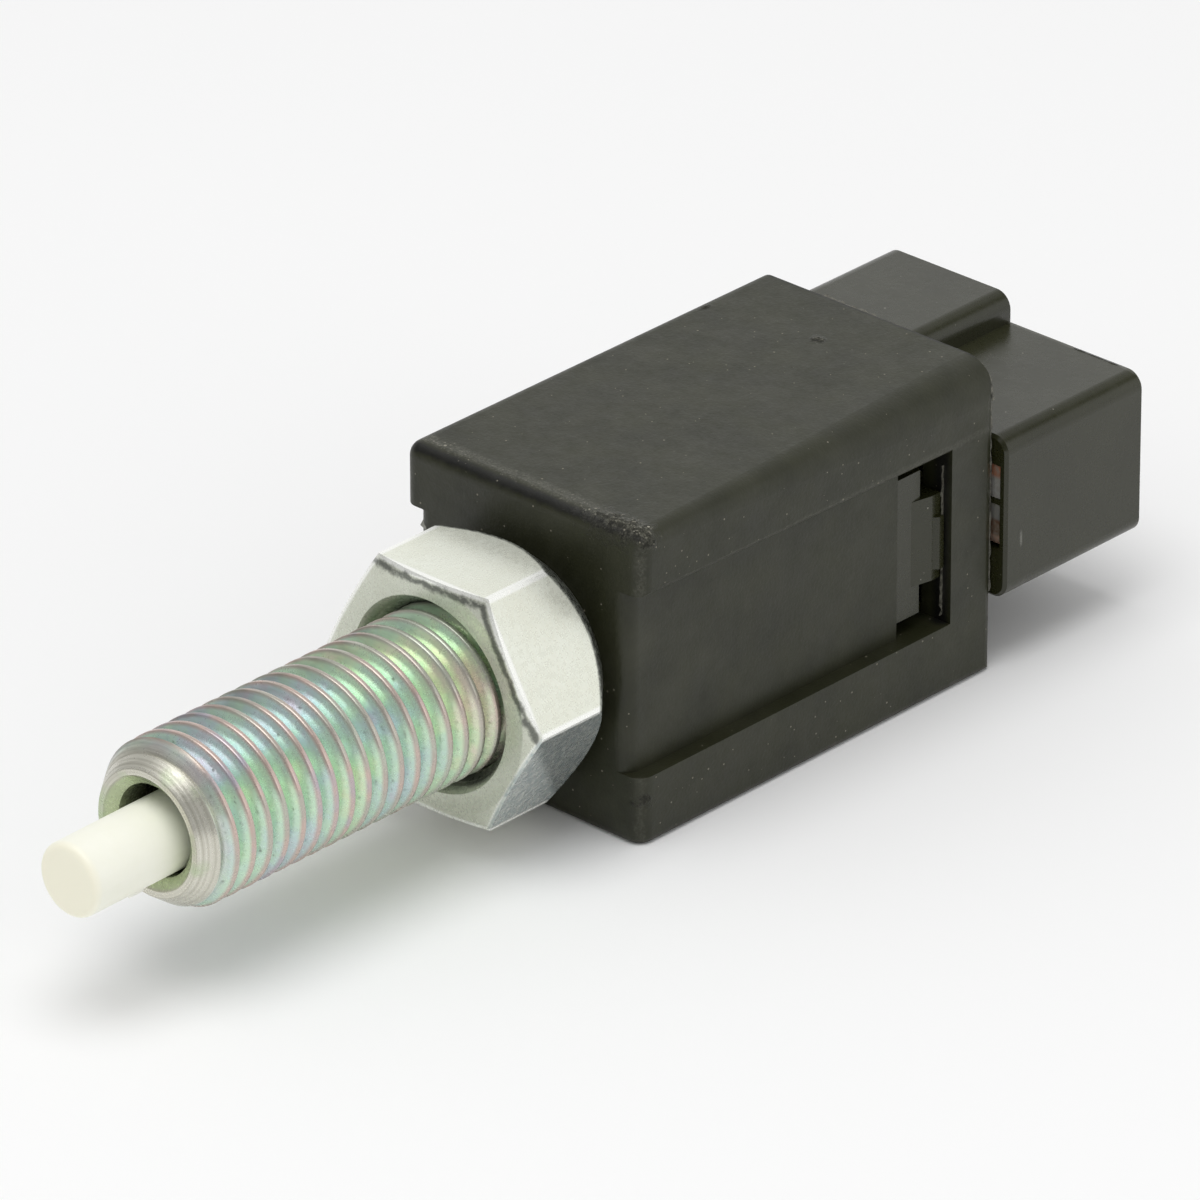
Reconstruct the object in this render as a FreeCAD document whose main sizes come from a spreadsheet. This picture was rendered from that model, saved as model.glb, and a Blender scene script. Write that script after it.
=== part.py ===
import FreeCAD, Part
import math
import os
import Sketcher

# Clutch switch: a moulded case on a threaded barrel, with a plunger, a lock nut and a plug socket.
# Every piece is drawn about the barrel axis, with y = 0 at the front face of the case and the plug
# socket towards +Y. Its placement then brings it to the origin of the whole switch, which is the
# middle of its length and width on the surface that the case rests on.

doc = FreeCAD.newDocument("clutch_switch")
sizes = doc.addObject("Spreadsheet::Sheet", "sizes")

DRIVING_SIZES = {
    # Barrel
    "barrel_length": 28.75,
    "thread_diameter": 9.7,
    "barrel_end_diameter": 7.46,
    "barrel_chamfer_length": 2.0,
    "mouth_diameter": 6.4,
    "mouth_depth": 0.55,
    "bore_clearance": 0.5,
    "guide_length": 6.0,
    "flange_width": 12.0,
    "flange_thickness": 1.4,
    "flange_cover": 1.6,
    "moulding_gap": 0.03,
    # Plunger
    "plunger_diameter": 4.3,
    "plunger_reach": 5.95,
    "plunger_tip_radius": 0.4,
    "plunger_head_diameter": 6.6,
    "plunger_head_length": 0.8,
    "plunger_droop": 0.8,
    "guide_clearance": 0.15,
    "seat_gap": 0.1,
    # Lock nut
    "nut_width": 14.0,
    "nut_length": 7.25,
    "nut_clearance": 0.05,
    "nut_seat_gap": 0.05,
    "nut_front_face_diameter": 13.8,
    "nut_front_chamfer": 0.45,
    "nut_rear_face_diameter": 12.1,
    "nut_rear_chamfer": 2.3,
    "nut_countersink": 0.6,
    # Case
    "case_width": 17.5,
    "case_length": 28.8,
    "case_height": 18.8,
    "axis_height": 9.13,
    "front_wall": 4.4,
    "side_wall": 2.15,
    "roof_wall": 1.45,
    "floor_wall": 1.5,
    "recess_depth": 0.97,
    "recess_rear_margin": 3.6,
    "recess_front_top": 5.95,
    "recess_rear_top": 5.55,
    "recess_bottom": 5.0,
    "ledge_radius": 0.3,
    "window_length": 3.4,
    "front_edge_radius": 0.9,
    "top_edge_radius": 0.9,
    "top_worn_radius": 2.2,
    "bottom_edge_radius": 0.5,
    "rear_edge_radius": 0.7,
    # Slider and its springs
    "slider_length": 6.8,
    "slider_width": 4.8,
    "slider_drop": 3.2,
    "fin_thickness": 1.6,
    "slide_clearance": 0.1,
    "shoulder_width": 9.8,
    "shoulder_top": 6.6,
    "shoulder_setback": 1.6,
    "boss_diameter": 3.0,
    "boss_length": 1.6,
    "return_wire": 0.45,
    "return_coil_diameter": 3.85,
    "return_turns": 7.0,
    "contact_wire": 0.3,
    "contact_coil_diameter": 2.1,
    "contact_turns": 4.0,
    "contact_seat_gap": 0.025,
    "contact_hole_depth": 3.6,
    # Contact bridge
    "bridge_thickness": 0.3,
    "bridge_length": 3.0,
    "bridge_ear": 1.7,
    "bridge_bend_radius": 0.45,
    "dimple_depth": 0.25,
    "dimple_tip_radius": 0.28,
    "dimple_foot_radius": 0.66,
    "contact_gap": 0.05,
    # Terminals
    "sheet_thickness": 0.8,
    "blade_width": 6.3,
    "blade_pitch": 8.6,
    "blade_tip_gap": 1.6,
    "blade_tip_chamfer": 0.3,
    "leg_width": 1.7,
    "leg_pitch": 7.5,
    "leg_front": 13.5,
    "plate_bottom": 1.7,
    "plate_top": 1.0,
    "strip_bottom": 1.4,
    "strip_top": 3.4,
    "strip_end_setback": 0.5,
    "plate_inner_reach": 0.6,
    "riser_width": 1.9,
    "fold_radius": 0.72,
    "slot_clearance": 0.05,
    # Connector base
    "joint_gap": 0.1,
    "cut_allowance": 1.0,
    "plug_length": 4.8,
    "plug_clearance": 0.1,
    "bay_width": 1.7,
    "bay_bottom": 4.4,
    "bay_top": 4.9,
    "bay_web": 1.5,
    "latch_arm_thickness": 0.9,
    "latch_arm_bottom": 3.2,
    "latch_arm_top": 3.7,
    "latch_pad_bottom": 4.05,
    "latch_pad_top": 4.7,
    "latch_pad_length": 1.85,
    "latch_pad_crown": 0.6,
    "latch_step_bottom": 2.25,
    "latch_step_top": 2.95,
    "latch_step_length": 2.1,
    "latch_step_height": 0.25,
    "latch_step_ramp": 1.4,
    "latch_nose_bottom": 1.6,
    "latch_nose_top": 1.6,
    "latch_nose_length": 0.95,
    "latch_nose_height": 0.5,
    "latch_nose_ramp": 0.6,
    "core_depth": 3.3,
    "core_width": 10.4,
    "core_gap": 0.8,
    "shroud_width": 19.0,
    "shroud_length": 11.4,
    "shroud_bottom": 4.75,
    "shroud_top": 5.2,
    "shroud_key_top": 6.95,
    "shroud_key_edge": 0.2,
    "shroud_wall": 1.2,
    "shroud_floor": 2.4,
    "shroud_front_chamfer": 0.18,
    "shroud_edge_radius": 1.0,
    "socket_corner_radius": 0.4,
    "lock_width": 4.0,
    "lock_length": 2.4,
    "lock_depth": 0.5,
    "lock_setback": 4.6,
}

for row, (alias, value) in enumerate(DRIVING_SIZES.items(), start=1):
    sizes.set(f"A{row}", alias.replace("_", " "))
    sizes.set(f"B{row}", str(value))
    sizes.setAlias(f"B{row}", alias)
doc.recompute()

# Places that follow from the sizes, as formulas
TIP_Y = "-(sizes.barrel_length + sizes.plunger_reach)"
MOUTH_Y = "-sizes.barrel_length"
GUIDE_Y = "sizes.front_wall - sizes.guide_length"
HEAD_FRONT = "sizes.front_wall + sizes.seat_gap"
HEAD_REAR = f"{HEAD_FRONT} + sizes.plunger_head_length"
SLIDER_FRONT = f"{HEAD_REAR} + sizes.seat_gap"
SLIDER_REAR = f"{SLIDER_FRONT} + sizes.slider_length"
SHOULDER_FRONT = f"{SLIDER_FRONT} + sizes.shoulder_setback"
SHOULDER_MIDDLE = f"({SHOULDER_FRONT} + {SLIDER_REAR}) / 2"
CASE_BOTTOM = "-sizes.axis_height"
CASE_TOP = "sizes.case_height - sizes.axis_height"
CAVITY_BOTTOM = "sizes.floor_wall - sizes.axis_height"
CAVITY_TOP = f"{CASE_TOP} - sizes.roof_wall"
CAVITY_SIDE = "sizes.case_width / 2 - sizes.side_wall"
RECESS_SIDE = "sizes.case_width / 2 - sizes.recess_depth"
RECESS_REAR = "sizes.case_length - sizes.recess_rear_margin"
BORE_RADIUS = "sizes.plunger_diameter / 2 + sizes.bore_clearance"
BASE_FRONT = "sizes.case_length + sizes.joint_gap"
BASE_REAR = f"{BASE_FRONT} + sizes.shroud_length"
PLUG_FRONT = f"{BASE_FRONT} - sizes.plug_length"
SOCKET_FLOOR = f"{BASE_FRONT} + sizes.shroud_floor"
PLATE_FRONT = f"{BASE_FRONT} + sizes.slot_clearance"
PLATE_REAR = f"{PLATE_FRONT} + sizes.sheet_thickness"
STRIP_END = "sizes.shroud_width / 2 - sizes.strip_end_setback"
LEG_TOP = "sizes.plate_top"
LEG_BOTTOM = "sizes.plate_top - sizes.sheet_thickness"
BLADE_BOTTOM = "-sizes.plate_bottom"
DIMPLE_BOTTOM = f"{LEG_TOP} + sizes.contact_gap"
BRIDGE_BOTTOM = f"{DIMPLE_BOTTOM} + sizes.dimple_depth"
BRIDGE_TOP = f"{BRIDGE_BOTTOM} + sizes.bridge_thickness"
SHOULDER_BOTTOM = f"{BRIDGE_TOP} + sizes.seat_gap"
RETURN_RADIUS = "sizes.return_coil_diameter / 2"


def amount(formula):
    """The value of a formula of the sheet's sizes."""
    return float(sizes.evalExpression(formula.replace("sizes.", "")))


def origin_plane(body, role):
    for feature in body.Origin.OriginFeatures:
        if feature.Role == role:
            return feature
    raise ValueError(role)


def new_body(name):
    return doc.addObject("PartDesign::Body", name + "_body")


def new_sketch(body, name, plane, offset):
    """An empty sketch on one of the body's own planes, moved along the plane's normal."""
    sketch = body.newObject("Sketcher::SketchObject", name)
    sketch.AttachmentSupport = [(origin_plane(body, plane), "")]
    sketch.MapMode = "FlatFace"
    sketch.setExpression("AttachmentOffset.Base.z", offset)
    return sketch


def tie_point(sketch, line, end, across, up):
    """Hold a point at two formulas, measured from the sketch's origin."""
    for kind, axis, formula in (("DistanceX", -2, across), ("DistanceY", -1, up)):
        value = amount(formula)
        if formula == "0":
            sketch.addConstraint(Sketcher.Constraint("PointOnObject", line, end, axis))
        else:
            index = sketch.addConstraint(Sketcher.Constraint(kind, -1, 1, line, end, value))
            sketch.setExpression(f"Constraints[{index}]", formula)


def add_loop(sketch, corners):
    """A closed outline of straight lines, each corner a pair of formulas."""
    first = sketch.GeometryCount
    points = [FreeCAD.Vector(amount(across), amount(up), 0) for across, up in corners]
    count = len(points)
    for index in range(count):
        sketch.addGeometry(Part.LineSegment(points[index], points[(index + 1) % count]))
    for index in range(count):
        following = first + (index + 1) % count
        sketch.addConstraint(Sketcher.Constraint("Coincident", first + index, 2, following, 1))
    for index, (across, up) in enumerate(corners):
        tie_point(sketch, first + index, 1, across, up)


def add_box(sketch, left, right, low, high):
    add_loop(sketch, [(left, low), (right, low), (right, high), (left, high)])


def add_circle(sketch, across, up, diameter):
    centre = FreeCAD.Vector(amount(across), amount(up), 0)
    circle = Part.Circle(centre, FreeCAD.Vector(0, 0, 1), amount(diameter) / 2)
    line = sketch.addGeometry(circle)
    tie_point(sketch, line, 3, across, up)
    index = sketch.addConstraint(Sketcher.Constraint("Diameter", line, amount(diameter)))
    sketch.setExpression(f"Constraints[{index}]", diameter)


def add_hexagon(sketch, width):
    """A hexagon about the origin with flats above and below, given its width across flats."""
    corner = f"({width}) / sqrt(3)"
    half = f"({width}) / 2"
    add_loop(
        sketch,
        [
            (corner, "0"),
            (f"{corner} / 2", half),
            (f"-{corner} / 2", half),
            (f"-{corner}", "0"),
            (f"-{corner} / 2", f"-{half}"),
            (f"{corner} / 2", f"-{half}"),
        ],
    )


def add_wire_section(sketch, across, up, diameter):
    """A spring's wire, six-sided so that its coil has few faces, with corners on the round wire."""
    half = f"({diameter}) / 2"
    rise = f"{half} * sqrt(3) / 2"
    add_loop(
        sketch,
        [
            (f"{across} + {half}", up),
            (f"{across} + {half} / 2", f"{up} + {rise}"),
            (f"{across} - {half} / 2", f"{up} + {rise}"),
            (f"{across} - {half}", up),
            (f"{across} - {half} / 2", f"{up} - {rise}"),
            (f"{across} + {half} / 2", f"{up} - {rise}"),
        ],
    )


def settle(body, feature):
    body.Tip = feature
    doc.recompute()
    return feature


def extrude(body, kind, name, sketch, length, backwards=False, both_ways=False):
    feature = body.newObject("PartDesign::" + kind, name)
    feature.Profile = (sketch, [""])
    feature.Reversed = backwards
    feature.setExpression("Length", length)
    feature.Midplane = both_ways
    return settle(body, feature)


def turn(body, kind, name, sketch):
    """Turn an outline about the sketch's upright axis, which lies on the barrel axis."""
    feature = body.newObject("PartDesign::" + kind, name)
    feature.Profile = (sketch, [""])
    feature.ReferenceAxis = (sketch, ["V_Axis"])
    feature.Angle = 360
    return settle(body, feature)


def coil(body, name, sketch, length, turns):
    """Sweep a wire section along a helix about the sketch's upright axis."""
    feature = body.newObject("PartDesign::AdditiveHelix", name)
    feature.Profile = (sketch, [""])
    feature.ReferenceAxis = (sketch, ["V_Axis"])
    feature.Mode = "height-turns-angle"
    feature.setExpression("Height", length)
    feature.setExpression("Turns", turns)
    return settle(body, feature)


def block(body, kind, name, left, right, low, high, front, rear):
    """A pad or pocket of rectangular section that runs along the barrel axis."""
    sketch = new_sketch(body, name + "_outline", "XZ_Plane", f"-({front})")
    add_box(sketch, left, right, low, high)
    return extrude(body, kind, name, sketch, f"{rear} - ({front})", backwards=(kind == "Pad"))


def edge_names(feature, choose):
    """The names of a feature's edges that pass a test on their two ends."""
    names = []
    for index, edge in enumerate(feature.Shape.Edges, start=1):
        if len(edge.Vertexes) == 2 and choose(edge.Vertexes[0].Point, edge.Vertexes[1].Point):
            names.append(f"Edge{index}")
    return names


def near(value, formula):
    return abs(value - amount(formula)) < 0.001


def dress(body, kind, name, choose, size):
    """A fillet or chamfer on the edges of the body's last feature that pass a test."""
    base = body.Tip
    names = edge_names(base, choose)
    if not names:
        raise ValueError(f"{name} found no edge")
    feature = body.newObject("PartDesign::" + kind, name)
    feature.Base = (base, names)
    feature.setExpression("Radius" if kind == "Fillet" else "Size", size)
    return settle(body, feature)


def place(piece, name):
    """Name a finished piece and bring it to the origin of the whole switch."""
    piece.Label = name
    piece.setExpression("Placement.Base.y", f"-({TIP_Y} + {BASE_REAR}) / 2")
    piece.setExpression("Placement.Base.z", "sizes.axis_height")
    doc.recompute()
    pieces.append(piece)
    return piece


pieces = []


# Case
def rear_edge_cutter(side):
    """What is cut away to round one of the case's two upright rear edges."""
    body = new_body(f"rear_edge_{side}")
    outline = new_sketch(body, f"rear_edge_{side}_outline", "XY_Plane", CASE_BOTTOM)
    sign = "" if side == "right" else "-"
    radius = "sizes.rear_edge_radius"
    beside = f"{sign}(sizes.case_width / 2)"
    outside = f"{sign}(sizes.case_width / 2 + sizes.joint_gap)"
    inside = f"{sign}(sizes.case_width / 2 - {radius})"
    ahead = f"sizes.case_length - {radius}"
    behind = "sizes.case_length + sizes.joint_gap"
    corners = [
        (beside, ahead),
        (outside, ahead),
        (outside, behind),
        (inside, behind),
        (inside, "sizes.case_length"),
    ]
    points = [FreeCAD.Vector(amount(across), amount(along), 0) for across, along in corners]
    for start, end in zip(points, points[1:]):
        outline.addGeometry(Part.LineSegment(start, end))
    # Seen from above, a sketch's arc runs anticlockwise from its start to its end
    first = 0 if side == "right" else math.pi / 2
    middle = FreeCAD.Vector(amount(inside), amount(ahead), 0)
    circle = Part.Circle(middle, FreeCAD.Vector(0, 0, 1), amount(radius))
    arc = outline.addGeometry(Part.ArcOfCircle(circle, first, first + math.pi / 2))
    beside_end, inside_end = (1, 2) if side == "right" else (2, 1)
    last = arc - 1
    for line in range(last):
        outline.addConstraint(Sketcher.Constraint("Coincident", line, 2, line + 1, 1))
        tie_point(outline, line, 1, *corners[line])
    tie_point(outline, last, 1, *corners[last])
    tie_point(outline, last, 2, *corners[last + 1])
    outline.addConstraint(Sketcher.Constraint("Coincident", 0, 1, arc, beside_end))
    outline.addConstraint(Sketcher.Constraint("Coincident", last, 2, arc, inside_end))
    index = outline.addConstraint(Sketcher.Constraint("Radius", arc, amount(radius)))
    outline.setExpression(f"Constraints[{index}]", radius)
    extrude(body, "Pad", f"rear_edge_{side}_prism", outline, "sizes.case_height")
    return body


def make_case():
    body = new_body("case")
    half_width = "sizes.case_width / 2"
    outline = new_sketch(body, "case_outline", "XZ_Plane", "0")
    add_box(outline, f"-{half_width}", half_width, CASE_BOTTOM, CASE_TOP)
    extrude(body, "Pad", "case_block", outline, "sizes.case_length", backwards=True)

    # The roof of each side recess falls a little towards the rear
    low = "-sizes.recess_bottom"
    for side, sign in (("right", ""), ("left", "-")):
        recess = new_sketch(body, f"recess_{side}_outline", "YZ_Plane", f"{sign}({RECESS_SIDE})")
        add_loop(
            recess,
            [
                ("0", low),
                (RECESS_REAR, low),
                (RECESS_REAR, "sizes.recess_rear_top"),
                ("0", "sizes.recess_front_top"),
            ],
        )
        extrude(body, "Pocket", f"recess_{side}", recess, "sizes.recess_depth + sizes.cut_allowance",
                backwards=(side == "right"))

    hollow = new_sketch(body, "hollow_outline", "XZ_Plane", "-sizes.front_wall")
    add_box(hollow, f"-({CAVITY_SIDE})", CAVITY_SIDE, CAVITY_BOTTOM, CAVITY_TOP)
    extrude(body, "Pocket", "hollow", hollow, "sizes.case_length - sizes.front_wall")

    windows = new_sketch(body, "window_outline", "YZ_Plane", "0")
    window_front = f"{RECESS_REAR} - sizes.window_length"
    add_box(windows, window_front, RECESS_REAR, low, "sizes.recess_rear_top")
    extrude(body, "Pocket", "latch_windows", windows, "sizes.case_width + sizes.cut_allowance", both_ways=True)

    hole = new_sketch(body, "barrel_hole_outline", "XZ_Plane", "0")
    add_circle(hole, "0", "0", "sizes.thread_diameter + 2 * sizes.moulding_gap")
    extrude(body, "Pocket", "barrel_hole", hole, "sizes.front_wall")

    seat_start = "sizes.flange_cover - sizes.moulding_gap"
    seat = new_sketch(body, "flange_seat_outline", "XZ_Plane", f"-({seat_start})")
    add_hexagon(seat, "sizes.flange_width + 2 * sizes.moulding_gap")
    seat_depth = "sizes.flange_thickness + 2 * sizes.moulding_gap"
    extrude(body, "Pocket", "flange_seat", seat, seat_depth)

    # Outer edges: the long upper right edge grows rounder towards the rear
    shape = body.Tip.Shape
    edges = []
    for index, edge in enumerate(shape.Edges, start=1):
        if len(edge.Vertexes) != 2:
            continue
        one, two = edge.Vertexes[0].Point, edge.Vertexes[1].Point
        at_front = near(one.y, "0") and near(two.y, "0")
        upright = near(one.x - two.x, "0") and near(one.y - two.y, "0")
        lengthwise = near(one.x - two.x, "0") and not near(one.y - two.y, "0")
        outside = near(abs(one.x), half_width) or near(abs(one.x), RECESS_SIDE)
        on_side = near(abs(one.x), half_width)
        ledge_ends = ("sizes.recess_front_top", "sizes.recess_rear_top")
        front_radius = amount("sizes.front_edge_radius")
        if at_front and upright and outside:
            edges.append((index, front_radius, front_radius))
        elif at_front and near(one.z, CASE_TOP) and near(two.z, CASE_TOP):
            edges.append((index, front_radius, front_radius))
        elif lengthwise and on_side and near(one.z, CASE_TOP):
            front_end = amount("sizes.top_edge_radius")
            rear_end = amount("sizes.top_worn_radius") if one.x > 0 else front_end
            ends = (front_end, rear_end) if one.y < two.y else (rear_end, front_end)
            edges.append((index, *ends))
        elif lengthwise and on_side and any(near(one.z, end) for end in ledge_ends):
            radius = amount("sizes.ledge_radius")
            edges.append((index, radius, radius))
        elif near(one.z, CASE_BOTTOM) and near(two.z, CASE_BOTTOM):
            if (lengthwise and on_side) or at_front:
                radius = amount("sizes.bottom_edge_radius")
                edges.append((index, radius, radius))
    rounded = doc.addObject("Part::Fillet", "rounded_case")
    rounded.Base = body
    rounded.Edges = edges

    eased = doc.addObject("Part::Cut", "right_edge_eased")
    eased.Base = rounded
    eased.Tool = rear_edge_cutter("right")
    case = doc.addObject("Part::Cut", "case")
    case.Base = eased
    case.Tool = rear_edge_cutter("left")
    return place(case, "case")


# Threaded sleeve
def make_threaded_sleeve():
    body = new_body("threaded_sleeve")
    section = new_sketch(body, "sleeve_section", "XY_Plane", "0")
    outside = "sizes.thread_diameter / 2"
    bore = BORE_RADIUS
    guide = "sizes.plunger_diameter / 2 + sizes.guide_clearance"
    add_loop(
        section,
        [
            ("sizes.mouth_diameter / 2", MOUTH_Y),
            ("sizes.barrel_end_diameter / 2", MOUTH_Y),
            (outside, f"{MOUTH_Y} + sizes.barrel_chamfer_length"),
            (outside, "sizes.front_wall"),
            (guide, "sizes.front_wall"),
            (guide, GUIDE_Y),
            (bore, f"{GUIDE_Y} - ({bore} - ({guide}))"),
            (bore, f"{MOUTH_Y} + sizes.mouth_depth"),
        ],
    )
    turn(body, "Revolution", "sleeve_tube", section)
    flange = new_sketch(body, "flange_outline", "XZ_Plane", "-sizes.flange_cover")
    add_hexagon(flange, "sizes.flange_width")
    add_circle(flange, "0", "0", "sizes.thread_diameter - sizes.nut_clearance")
    extrude(body, "Pad", "sleeve_flange", flange, "sizes.flange_thickness", backwards=True)
    return place(body, "threaded_sleeve")


# Lock nut
def make_lock_nut():
    body = new_body("lock_nut")
    front = "-(sizes.nut_length + sizes.nut_seat_gap)"
    rear = "-sizes.nut_seat_gap"
    bore = "sizes.thread_diameter / 2 + sizes.nut_clearance"
    corner = "sizes.nut_width / sqrt(3)"
    outline = new_sketch(body, "nut_outline", "XZ_Plane", "sizes.nut_seat_gap")
    add_hexagon(outline, "sizes.nut_width")
    extrude(body, "Pad", "nut_block", outline, "sizes.nut_length")
    chamfers = new_sketch(body, "nut_chamfers", "XY_Plane", "0")
    front_face = "sizes.nut_front_face_diameter / 2"
    rear_face = "sizes.nut_rear_face_diameter / 2"
    add_loop(
        chamfers,
        [
            (front_face, front),
            (f"2 * {corner} - {front_face}", front),
            (f"2 * {corner} - {front_face}", f"{front} + 2 * sizes.nut_front_chamfer"),
        ],
    )
    add_loop(
        chamfers,
        [
            (rear_face, rear),
            (f"2 * {corner} - {rear_face}", rear),
            (f"2 * {corner} - {rear_face}", f"{rear} - 2 * sizes.nut_rear_chamfer"),
        ],
    )
    turn(body, "Groove", "nut_corners", chamfers)
    hole = new_sketch(body, "nut_bore_section", "XY_Plane", "0")
    add_loop(
        hole,
        [
            ("0", front),
            (f"{bore} + sizes.nut_countersink", front),
            (bore, f"{front} + sizes.nut_countersink"),
            (bore, f"{rear} - sizes.nut_countersink"),
            (f"{bore} + sizes.nut_countersink", rear),
            ("0", rear),
        ],
    )
    turn(body, "Groove", "nut_bore", hole)
    return place(body, "lock_nut")


# Plunger
def make_plunger():
    body = new_body("plunger")
    section = new_sketch(body, "plunger_section", "XY_Plane", "0")
    rod = "sizes.plunger_diameter / 2"
    head = "sizes.plunger_head_diameter / 2"
    add_loop(
        section,
        [
            ("0", TIP_Y),
            (rod, TIP_Y),
            (rod, HEAD_FRONT),
            (head, HEAD_FRONT),
            (head, HEAD_REAR),
            ("0", HEAD_REAR),
        ],
    )
    turn(body, "Revolution", "plunger_rod", section)

    def at_tip(one, two):
        return near(one.y, TIP_Y) and near(two.y, TIP_Y)

    base = body.Tip
    names = []
    for index, edge in enumerate(base.Shape.Edges, start=1):
        if at_tip(edge.Vertexes[0].Point, edge.Vertexes[-1].Point):
            names.append(f"Edge{index}")
    tip = body.newObject("PartDesign::Fillet", "plunger_tip")
    tip.Base = (base, names)
    tip.setExpression("Radius", "sizes.plunger_tip_radius")
    settle(body, tip)
    # The rod hangs a little in its guide, so its tip lies below the barrel axis
    droop = FreeCAD.Rotation(FreeCAD.Vector(1, 0, 0), amount("sizes.plunger_droop"))
    body.Placement = FreeCAD.Placement(FreeCAD.Vector(0, 0, 0), droop)
    return place(body, "plunger")


# Contact slider
def make_contact_slider():
    body = new_body("contact_slider")
    half = "sizes.slider_width / 2"
    block(body, "Pad", "slider_core", f"-{half}", half, "-sizes.slider_drop", "sizes.shoulder_top",
          SLIDER_FRONT, SLIDER_REAR)
    shoulder = "sizes.shoulder_width / 2"
    block(body, "Pad", "slider_shoulders", f"-{shoulder}", shoulder, SHOULDER_BOTTOM,
          "sizes.shoulder_top", SHOULDER_FRONT, SLIDER_REAR)
    fin = "sizes.fin_thickness / 2"
    block(body, "Pad", "slider_fins", f"-{fin}", fin, f"{CAVITY_BOTTOM} + sizes.slide_clearance",
          f"{CAVITY_TOP} - sizes.slide_clearance", SLIDER_FRONT, SLIDER_REAR)
    slot = new_sketch(body, "bridge_slot_outline", "YZ_Plane", "0")
    slot_half = "(sizes.bridge_length / 2 + sizes.seat_gap)"
    add_box(slot, f"{SHOULDER_MIDDLE} - {slot_half}", f"{SHOULDER_MIDDLE} + {slot_half}",
            f"{LEG_TOP}", SHOULDER_BOTTOM)
    extrude(body, "Pocket", "bridge_slot", slot, "2 * sizes.slider_width", both_ways=True)
    pit = new_sketch(body, "spring_pit_outline", "XY_Plane", SHOULDER_BOTTOM)
    pit_diameter = "sizes.contact_coil_diameter + sizes.contact_wire + 2 * sizes.seat_gap"
    add_circle(pit, "0", SHOULDER_MIDDLE, pit_diameter)
    extrude(body, "Pocket", "spring_pit", pit, "sizes.contact_hole_depth", backwards=True)
    boss = new_sketch(body, "spring_boss_outline", "XZ_Plane", f"-({SLIDER_REAR})")
    add_circle(boss, "0", "0", "sizes.boss_diameter")
    extrude(body, "Pad", "spring_boss", boss, "sizes.boss_length", backwards=True)
    return place(body, "contact_slider")


# Contact bridge
def make_contact_bridge():
    body = new_body("contact_bridge")
    inner = "(sizes.shoulder_width / 2 + sizes.seat_gap)"
    outer = f"({inner} + sizes.bridge_thickness)"
    ear_top = f"{BRIDGE_BOTTOM} + sizes.bridge_ear"
    front = f"{SHOULDER_MIDDLE} - sizes.bridge_length / 2"
    section = new_sketch(body, "bridge_section", "XZ_Plane", f"-({front})")
    add_loop(
        section,
        [
            (f"-{outer}", BRIDGE_BOTTOM),
            (outer, BRIDGE_BOTTOM),
            (outer, ear_top),
            (inner, ear_top),
            (inner, BRIDGE_TOP),
            (f"-{inner}", BRIDGE_TOP),
            (f"-{inner}", ear_top),
            (f"-{outer}", ear_top),
        ],
    )
    extrude(body, "Pad", "bridge_strip", section, "sizes.bridge_length", backwards=True)

    def at_outer_bend(one, two):
        low = near(one.z, BRIDGE_BOTTOM) and near(two.z, BRIDGE_BOTTOM)
        return low and near(abs(one.x), outer) and near(one.x - two.x, "0")

    dress(body, "Fillet", "outer_bends", at_outer_bend, "sizes.bridge_bend_radius")
    for side, sign in (("right", ""), ("left", "-")):
        dimple = body.newObject("PartDesign::AdditiveCone", f"dimple_{side}")
        dimple.setExpression("Radius1", "sizes.dimple_tip_radius")
        dimple.setExpression("Radius2", "sizes.dimple_foot_radius")
        dimple.setExpression("Height", "sizes.dimple_depth + sizes.bridge_thickness / 2")
        dimple.AttachmentSupport = [(origin_plane(body, "XY_Plane"), "")]
        dimple.MapMode = "FlatFace"
        dimple.setExpression("AttachmentOffset.Base.x", f"{sign}sizes.leg_pitch / 2")
        dimple.setExpression("AttachmentOffset.Base.y", SHOULDER_MIDDLE)
        dimple.setExpression("AttachmentOffset.Base.z", DIMPLE_BOTTOM)
        settle(body, dimple)
    return place(body, "contact_bridge")


# Springs
def make_return_spring():
    body = new_body("return_spring")
    start = f"{SLIDER_REAR} + sizes.return_wire / 2 + sizes.seat_gap / 2"
    end = f"{PLUG_FRONT} - sizes.return_wire / 2 - sizes.seat_gap / 2"
    wire = new_sketch(body, "return_wire_section", "XY_Plane", "0")
    add_wire_section(wire, RETURN_RADIUS, start, "sizes.return_wire")
    coil(body, "return_coil", wire, f"{end} - ({start})", "sizes.return_turns")
    return place(body, "return_spring")


def make_contact_spring():
    body = new_body("contact_spring")
    start = f"{BRIDGE_TOP} + sizes.contact_wire / 2 + sizes.contact_seat_gap"
    pit_top = f"{SHOULDER_BOTTOM} + sizes.contact_hole_depth"
    end = f"{pit_top} - sizes.contact_wire / 2 - sizes.contact_seat_gap"
    wire = new_sketch(body, "contact_wire_section", "XZ_Plane", f"-({SHOULDER_MIDDLE})")
    add_wire_section(wire, "sizes.contact_coil_diameter / 2", start, "sizes.contact_wire")
    coil(body, "contact_coil", wire, f"{end} - ({start})", "sizes.contact_turns")
    return place(body, "contact_spring")


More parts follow.
